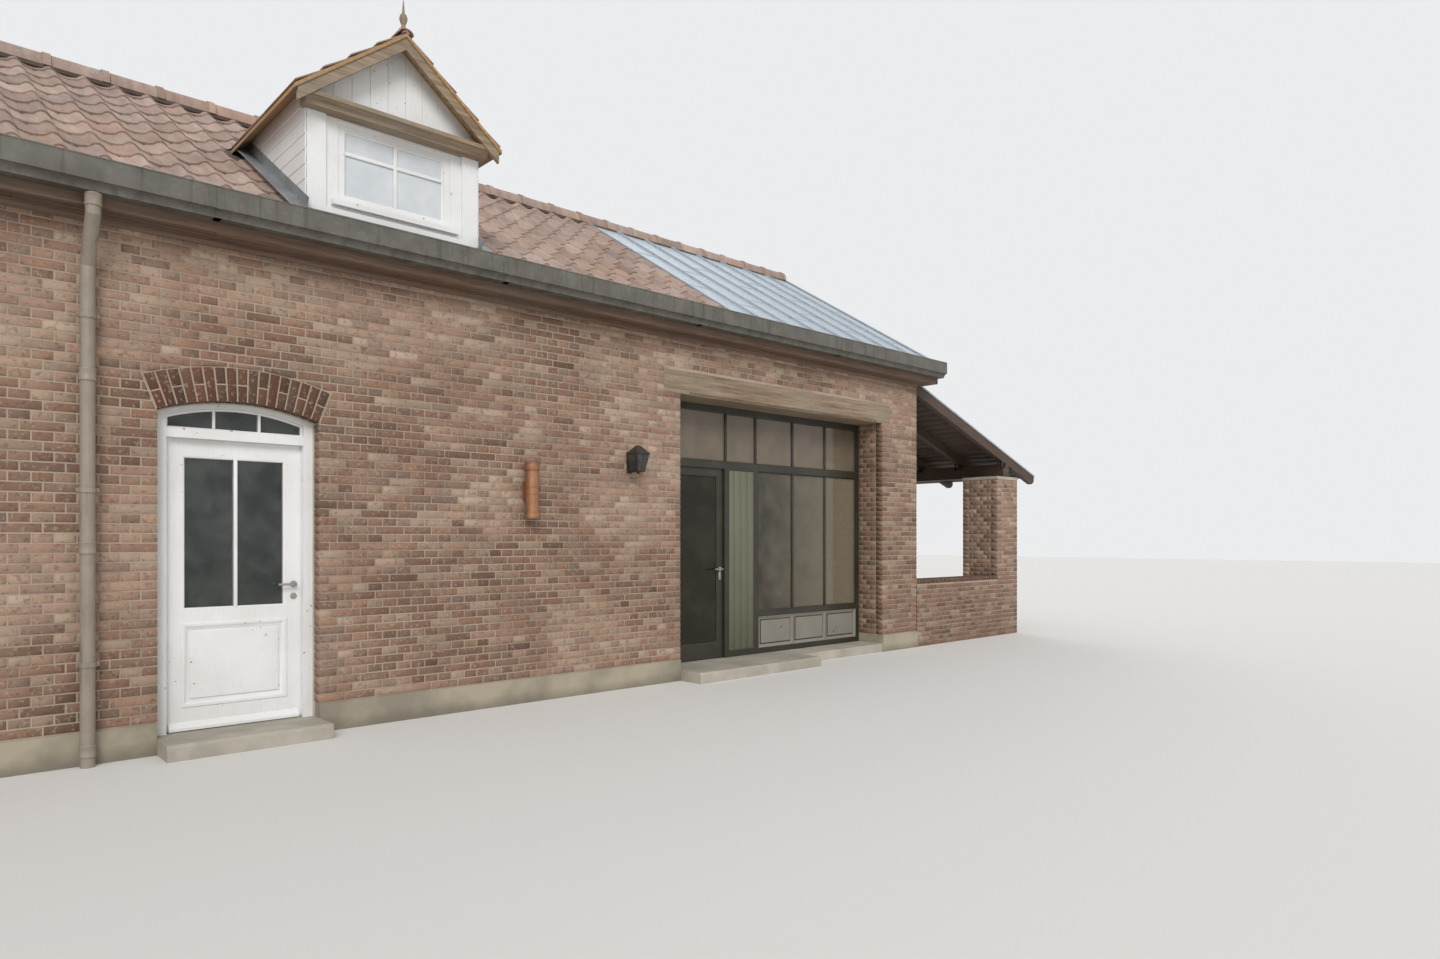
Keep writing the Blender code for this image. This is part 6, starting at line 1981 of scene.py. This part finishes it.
@dataclass
class Canopy:
    """Boarding, sheet, bolts and flashing of the lean-to canopy."""

    boards: Material
    sheet: Material
    lead: Material
    stone: Material
    iron: Material
    board_width: float = 0.145
    board_thickness: float = 0.022
    board_joints: tuple[float, ...] = (0.42, 0.63, 0.51)
    roof_thickness: float = 0.050
    seam_spacing: float = 0.62
    sheet_drop: float = 0.020
    flashing_steps: int = 12
    pad: float = 0.045
    pad_reach: float = 0.012
    beam_half: float = 0.08
    beam_depth: float = 0.18
    rafters: int = 8
    rafter_width: float = 0.07
    plate: float = 0.0025

    def __post_init__(self) -> None:
        """Measure the sloping roof: its axes run down it, along the gable and out of it."""
        self.low, self.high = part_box("canopy_roof")
        fall, reach = self.high.z - self.low.z - self.roof_thickness, self.high.x - self.low.x
        angle = math.atan2(fall, reach)
        self.axes = Matrix.Translation((self.low.x, 0, self.high.z)) @ Matrix.Rotation(angle, 4, "Y")
        self.length = math.hypot(fall, reach)
        self.depth = self.roof_thickness * math.cos(angle)

    def boarding(self) -> None:
        """Lay the boards on the rafters."""
        south, north = self.low.y, self.high.y
        planks = Planks(55, 0.002)
        count = int((self.length - 0.02) / self.board_width)
        width = (self.length - 0.02) / count
        for index in range(count):
            start = 0.004 + width * index
            split = south + (north - south) * self.board_joints[index % len(self.board_joints)]
            for first, second in ((south + 0.006, split - 0.0015), (split + 0.0015, north - 0.006)):
                planks.lay((start, first, -self.depth),
                           (start + width - 0.004, second, -self.depth + self.board_thickness), self.axes)
        planks.place("canopy_boards", self.boards, "dark_boards", ("canopy_roof",))

    def covering(self) -> None:
        """Lay the seamed sheet on the boards."""
        south, north = self.low.y + 0.0005, self.high.y - 0.0005
        length, top, bed = self.length - 0.004, -self.sheet_drop, self.board_thickness - self.depth
        bm = bmesh.new()
        box((0.002, south, bed + 0.0005), (length, north, top), 0.003, bm)
        span = self.high.y - self.low.y
        bays = round(span / self.seam_spacing)
        for index in range(bays + 1):
            y = min(max(self.low.y + span * index / bays, self.low.y + 0.011), self.high.y - 0.011)
            box((0.012, y - 0.008, top - 0.001), (length - 0.002, y + 0.008, -0.0006), 0.004, bm, segments=2)
        box((length - 0.006, south, 0.004 - self.depth), (length, north, top + 0.002), 0.0015, bm)
        bmesh.ops.transform(bm, matrix=self.axes, verts=bm.verts)
        for vert in bm.verts:
            vert.co.x = min(max(vert.co.x, self.low.x), self.high.x)
        place_piece("canopy_sheet", bm, self.sheet, smooth=30.0)

    def flashing(self) -> None:
        """Dress a lead flashing from the gable, in lapping pieces, onto the canopy."""
        low, high = self.low, self.high
        bm = box((0.006, low.y + 0.004, -0.0004), (0.15, high.y - 0.004, 0.0022), 0.001, place=self.axes)
        span = (high.y - low.y - 0.02) / self.flashing_steps
        for index in range(self.flashing_steps):
            start = low.y + 0.01 + span * index
            near, end = low.x + 0.0042 + 0.0014 * (index % 2), min(start + span + 0.02, high.y - 0.01)
            box((near, start, high.z - 0.004), (near + 0.0030, end, high.z + 0.074), 0.001, bm)
        under_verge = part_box("right_gable")[1].z - 0.01
        for vert in bm.verts:
            vert.co.z = min(vert.co.z, under_verge - abs(vert.co.y) * math.tan(MAIN_PITCH))
        place_piece("canopy_flashing", bm, self.lead)

    def pads(self) -> None:
        """Set a stone pad on each pier."""
        for name in ("canopy_pier_front", "canopy_pier_rear"):
            low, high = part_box(name)
            reach = self.pad_reach
            bm = box((low.x - reach, low.y - reach, high.z - self.pad),
                     (high.x + reach, high.y + reach, high.z - 0.0002), 0.008, segments=2)
            place_piece(name + "_pad", bm, self.stone)

    def cleats(self) -> None:
        """Put angle cleats and bolts where each rafter crosses the beam."""
        pier_low, pier_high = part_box("canopy_pier_front")
        low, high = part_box("canopy_frame")
        face = (pier_low.x + pier_high.x) / 2 - self.beam_half
        top = pier_high.z + 0.0003 + self.beam_depth
        pitch = (high.y - low.y - self.rafter_width) / (self.rafters - 1)
        bm = bmesh.new()
        for index in range(self.rafters):
            start = low.y + pitch * index
            for y in (start - self.plate, start + self.rafter_width):
                box((face - 0.0405, y, top - 0.055), (face - 0.0005, y + self.plate, top + 0.045), 0.0008, bm)
            box((face - 0.0030, start - 0.040, top - 0.055), (face - 0.0004, start - 0.002, top - 0.004),
                0.0008, bm)
            spot = Matrix.Translation((face - 0.0028, start - 0.020, top - 0.030))
            turned([(0, 0), (0.009, 0), (0.009, 0.005), (0.006, 0.007), (0, 0.007)], 6,
                   spot @ Matrix.Rotation(-math.pi / 2, 4, "Y"), bm)
        place_piece("canopy_cleats", bm, self.iron)

    def build(self) -> None:
        """Dress the canopy."""
        self.boarding()
        self.covering()
        self.flashing()
        self.pads()
        self.cleats()


@dataclass
class WallFittings:
    """The copper lamp that shines up and down, and the small lantern."""

    copper: Material
    iron: Material
    glow: Material
    glass: Material
    lamp_radius: float = 0.055
    lamp_hollow: float = 0.045
    stand: float = 0.008
    lantern_width: float = 0.150
    lantern_foot: float = 0.090
    lantern_body: float = 0.170
    lantern_cap: float = 0.070

    def band(self, height: float, low: float, high: float, place: Matrix, into: BMesh) -> None:
        """Put a band of some height with eased edges round the lamp, between two distances from it."""
        near, far = self.lamp_radius + low, self.lamp_radius + high
        ease = 0.0015 if height < 0.006 else 0.001
        turned([(near, 0), (far, ease), (far, height - ease), (near, height), (near, 0)], 32, place, into)

    def lamp(self) -> None:
        """Give the lamp its lenses and bands."""
        low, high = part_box("wall_lamp")
        x, y = (low.x + high.x) / 2, low.y + self.lamp_radius + self.stand
        lens, rings = bmesh.new(), bmesh.new()
        radius = self.lamp_radius - 0.0065
        for way, end in ((-1, low.z), (1, high.z)):
            turn = Matrix.Identity(4) if way > 0 else Matrix.Rotation(math.pi, 4, "X")
            spot = Matrix.Translation((x, y, end - way * (self.lamp_hollow - LIFT))) @ turn
            turned([(0, 0), (radius, 0), (radius, 0.004), (radius * 0.7, 0.010), (0, 0.014)], 24, spot, lens)
            for shift in (0.008, 0.052):
                spot = Matrix.Translation((x, y, end - way * shift - 0.0025))
                self.band(0.005, 0.0082, 0.0108, spot, rings)
        for shift in (-0.030, 0.030):
            spot = Matrix.Translation((x, y, (low.z + high.z) / 2 + shift - 0.004))
            self.band(0.008, LIFT, 0.003, spot, rings)
        place_piece("wall_lamp_lenses", lens, self.glow, smooth=40.0)
        place_piece("wall_lamp_bands", rings, self.copper, smooth=40.0)

    def lantern(self) -> None:
        """Give the lantern its panes, bars and knob."""
        low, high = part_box("wall_lantern")
        wide, slim = self.lantern_width, self.lantern_foot
        x, y = (low.x + high.x) / 2, low.y + wide / 2 + self.stand
        foot = high.z - self.lantern_cap - self.lantern_body
        panes, bars = bmesh.new(), bmesh.new()
        lean = math.atan2((wide - slim) / 2, self.lantern_body)
        height = self.lantern_body / math.cos(lean)
        pane = [(-slim / 2 + 0.012, -0.0006, 0.016), (slim / 2 - 0.012, -0.0006, 0.016),
                (wide / 2 - 0.014, -0.0006, height - 0.014), (-wide / 2 + 0.014, -0.0006, height - 0.014)]
        rails = ((0.004, 0.015, slim), (height - 0.013, height - 0.002, wide),
                 (height * 0.52, height * 0.52 + 0.006, (slim + wide) / 2))
        for quarter in range(4):
            place = (Matrix.Translation((x, y, foot)) @ Matrix.Rotation(math.pi / 2 * quarter, 4, "Z")
                     @ Matrix.Translation((0, -slim / 2, 0)) @ Matrix.Rotation(lean, 4, "X"))
            prism(pane, (0, -0.0022, 0), panes, place)
            for bottom, top, width in rails:
                half = width / 2 - 0.003
                box((-half, -0.0048, bottom), (half, -LIFT, top), 0.0015, bars, place)
            box((-0.003, -0.0046, 0.010), (0.003, -LIFT, height - 0.008), 0.001, bars, place)
        knob = [(0.0, -0.012), (0.010, -0.012), (0.013, -0.006), (0.010, 0.0), (0.016, 0.003), (0.016, 0.006),
                (0.0, 0.006)]
        turned(knob, 16, Matrix.Translation((x, y, foot - 0.006)), bars)
        place_piece("wall_lantern_panes", panes, self.glass)
        place_piece("wall_lantern_bars", bars, self.iron)

    def build(self) -> None:
        """Dress both fittings."""
        self.lamp()
        self.lantern()


def finishes() -> dict[str, Material]:
    """Build every finish of the house.

    Returns:
        The materials by name.
    """
    bricks = ((0.0, "#826654"), (0.14, "#a6846e"), (0.30, "#bc9b83"),
              (0.48, "#997967"), (0.62, "#b08870"), (0.76, "#967e6e"),
              (0.88, "#c4ab94"))
    burnt = ((0.0, "#7a523e"), (0.25, "#684a3c"), (0.5, "#8a604a"),
             (0.75, "#725848"))
    tiles = ((0.0, "#c8aea0"), (0.2, "#ba9f91"), (0.42, "#d0b6a8"),
             (0.62, "#ae978c"), (0.8, "#c4a694"))
    low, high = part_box("ground_floor")
    room_x, room_y = (low.x - 0.003, high.x + 0.003), (low.y - 0.003, high.y + 0.003)
    level = (0.6, 9, 9)
    made = (
        Masonry("mottled_brick", bricks, "#a4948a", "#baa08c"),
        Masonry("dark_red_brick", burnt, "#aa968c", "#a07860"),
        WallBody("lime_mortar", "#b2a18e", "#a89e8a", "#e2ded4", 0.2, room_x, room_y),
        FiredTile("weathered_pantile", tiles),
        FiredTile("weathered_flat_tile", tiles, (1.2, 1.2, 1.2), 0.45),
        Stone("lime_pointing", "#bab0a0", "#a89d8e", "#968a7c"),
        Stone("pale_stone", "#b8b1a4", "#a8a193", "#8c8579"),
        Paint("pale_panel_paint", "#888378", "#767166", "#605a50", 0.45, 0.4),
        Paint("white_paint", "#e8e8e7", "#d4d2cc", "#96826e", 0.38, 0.3),
        Paint("dark_frame_paint", "#2a281e", "#423e30", "#6e604c", 0.38, 0.3),
        Paint("grey_green_paint", "#6a6b58", "#5c5c4a", "#78705e", 0.45, 0.3),
        Timber("dark_underlay", "#463c36", "#5c524a", "#544c46", (1, 1, 1)),
        Timber("dark_brown_boards", "#34261d", "#543f30", "#5e5044", level, 0.6),
        Timber("brown_eaves_boards", "#5c4638", "#7e6552", "#706256", level, 0.6),
        Timber("weathered_oak", "#6c5a48", "#a48f76", "#988e7e", (0.5, 9, 9)),
        Timber("sawn_timber", "#8c6a48", "#b69268", "#a0886c", (9, 0.5, 9)),
        Metal("pale_grey_sheet", "#b4bec6", "#a4adb4", "#94989b", 0.25, 0.42, 0.32),
        Metal("weathered_zinc", "#605d56", "#7a7770", "#46423a", 0.35, 0.5, 0.8),
        Metal("downpipe_paint", "#968c7e", "#807668", "#685e50", 0.1, 0.5, 0.7),
        Metal("lead_sheet", "#808284", "#9ea0a0", "#686868", 0.3, 0.55, 0.7),
        Metal("satin_steel", "#b0aeaa", "#8c8882", "#787068", 1.0, 0.32, 0.3),
        Metal("aged_copper", "#b27e5c", "#80604a", "#687062", 0.80, 0.38, 0.9),
        Metal("dark_iron", "#3a3734", "#544a40", "#624634", 0.6, 0.5, 0.6),
        Glow("lamp_lens", "#eccca8", "#ffbe78", 0.6),
        Pane("window_glass", "#3a4240", "#787a74", 0.03, 0.30),
        # Painted shade: the door's pane is dark and nearly opaque for the shaded room behind it.
        Pane("entrance_leaf_glass", "#28251a", "#3e3a2c", 0.05, 0.80, 0.25),
        # Painted reflection and shade: the top light is brownish and half opaque for what it reflects and the
        # shaded room behind.
        Pane("top_light_glass", "#807261", "#90826e", 0.05, 0.58, 0.6),
        # Painted reflection: the dormer pane is pale and nearly opaque for the sky it reflects.
        Pane("sky_lit_glass", "#d2d8dc", "#dededc", 0.05, 0.88),
        # Painted reflection and shade: the side light is brownish and half opaque, and it turns dark towards
        # -X as painted shade.
        Pane("side_light_glass", "#8c806c", "#7a705e", 0.05, 0.62, 0.6, "#2a2819",
             (2.8, 1.6)))
    return {finish.name: finish.make() for finish in made}


SLOT_FINISHES = {"brick": "lime_mortar", "arch_brick": "lime_mortar", "weathered_oak": "weathered_oak",
                 "stone": "pale_stone", "timber": "sawn_timber", "dark_boards": "dark_brown_boards",
                 "white_paint": "white_paint", "dark_paint": "dark_frame_paint",
                 "grey_green_paint": "grey_green_paint", "roof_tile": "weathered_pantile",
                 "roof_sheet": "pale_grey_sheet", "zinc": "weathered_zinc", "glass": "window_glass",
                 "steel": "satin_steel", "copper": "aged_copper", "iron": "dark_iron"}
NODE_FINISHES = {"dormer_glass": "sky_lit_glass", "entrance_side_glass": "side_light_glass",
                 "entrance_door_glass": "entrance_leaf_glass", "entrance_top_glass": "top_light_glass",
                 "eaves_box_front": "brown_eaves_boards", "eaves_box_rear": "brown_eaves_boards",
                 "downpipe_front": "downpipe_paint", "downpipe_rear": "downpipe_paint"}


def dress(looks: dict[str, Material]) -> None:
    """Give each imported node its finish."""
    for part in frame["record"]["subparts"]:
        finish = NODE_FINISHES.get(part["node"], SLOT_FINISHES[part["material_slot"]])
        for slot in frame["nodes"][part["node"]].material_slots:
            slot.material = looks[finish]


@dataclass
class Studio:
    """Floor, light and camera."""

    eye: tuple[float, float, float] = (-5.14, -9.10, 1.37)
    turn: float = -43.36
    lens: float = 22.5
    shift: float = 0.0413
    ambient: float = 0.66
    seen_ambient: float = 0.86
    sun: float = 1.72
    floor_half: float = 60.0

    def camera(self) -> None:
        """Stand the camera where the photo was taken."""
        camera = bpy.data.cameras.new("camera")
        camera.lens = self.lens
        camera.sensor_width = 36.0
        camera.shift_y = self.shift
        camera.clip_end = 300.0
        holder = self.hold("camera", camera, (90, 0, self.turn))
        holder.location = self.eye
        bpy.context.scene.camera = holder

    def hold(self, name: str, thing: bpy.types.ID, turn: Sequence[float]) -> bpy.types.Object:
        """Put a camera, a light or a mesh into the scene, turned by some degrees."""
        holder = bpy.data.objects.new(name, thing)
        holder.rotation_euler = [math.radians(angle) for angle in turn]
        bpy.context.scene.collection.objects.link(holder)
        return holder

    def world(self) -> None:
        """A plain pale surround that also shows in glass and metal."""
        world = bpy.data.worlds.new("studio")
        world.use_nodes = True
        nodes, links = world.node_tree.nodes, world.node_tree.links
        path = nodes.new("ShaderNodeLightPath")
        seen = path.outputs["Is Camera Ray"]
        for ray in ("Is Transmission Ray", "Is Glossy Ray"):
            either = nodes.new("ShaderNodeMath")
            either.operation = "MAXIMUM"
            links.new(seen, either.inputs[0])
            links.new(path.outputs[ray], either.inputs[1])
            seen = either.outputs[0]
        level = nodes.new("ShaderNodeMapRange")
        level.inputs["To Min"].default_value = self.ambient
        level.inputs["To Max"].default_value = self.seen_ambient
        links.new(seen, level.inputs["Value"])
        background = nodes["Background"]
        background.inputs["Color"].default_value = (0.97, 0.98, 1.0, 1.0)
        links.new(level.outputs["Result"], background.inputs["Strength"])
        bpy.context.scene.world = world

    def lamp(self, name: str, turn: Sequence[float], power: float, spread: float) -> None:
        """Add a broad, soft sun.

        Args:
            name: Its name.
            turn: Which way it shines, in degrees.
            power: Its strength.
            spread: How wide it looks, in degrees.
        """
        light = bpy.data.lights.new(name, "SUN")
        light.energy = power
        light.angle = math.radians(spread)
        self.hold(name, light, turn)

    def floor(self) -> None:
        """A large, plain, pale floor."""
        bm = bmesh.new()
        bmesh.ops.create_grid(bm, x_segments=1, y_segments=1, size=self.floor_half)
        mesh = bpy.data.meshes.new("floor")
        bm.to_mesh(mesh)
        bm.free()
        graph = Graph("studio_floor")
        graph.set(Base_Color="#dedcd8", Roughness=0.9)
        mesh.materials.append(graph.material)
        floor = self.hold("floor", mesh, (0, 0, 0))
        floor.location = (0, 0, -0.001)

    def build(self) -> None:
        """Set up the studio."""
        bpy.context.scene.view_settings.view_transform = "Standard"
        self.world()
        self.lamp("key", (56, 0, -32), self.sun, 28.0)
        self.lamp("fill", (62, 0, 150), self.sun * 0.35, 40.0)
        self.floor()
        self.camera()


def main() -> None:
    """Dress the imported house, build its pieces and set up the studio."""
    logging.basicConfig(level=logging.INFO, format="%(message)s")
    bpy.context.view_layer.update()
    looks = finishes()
    dress(looks)
    white, lead, steel = looks["white_paint"], looks["lead_sheet"], looks["satin_steel"]
    bedding, sheet, iron = looks["dark_underlay"], looks["pale_grey_sheet"], looks["dark_iron"]
    Brickwork(looks["mottled_brick"], looks["dark_red_brick"]).build()
    TiledRoof(looks["weathered_pantile"], bedding).build()
    FrontDoor(white, steel, looks["lime_pointing"]).build()
    Entrance(looks["dark_frame_paint"], looks["grey_green_paint"], looks["pale_panel_paint"], steel).build()
    Dormer(white, looks["weathered_flat_tile"], lead, looks["sawn_timber"]).build()
    BoxGutters(looks["weathered_zinc"], looks["downpipe_paint"], looks["brown_eaves_boards"]).build()
    SheetRoof(sheet).build()
    Canopy(looks["dark_brown_boards"], sheet, lead, looks["pale_stone"], iron).build()
    WallFittings(looks["aged_copper"], iron, looks["lamp_lens"], looks["window_glass"]).build()
    Studio().build()


if __name__ == "__main__":
    main()
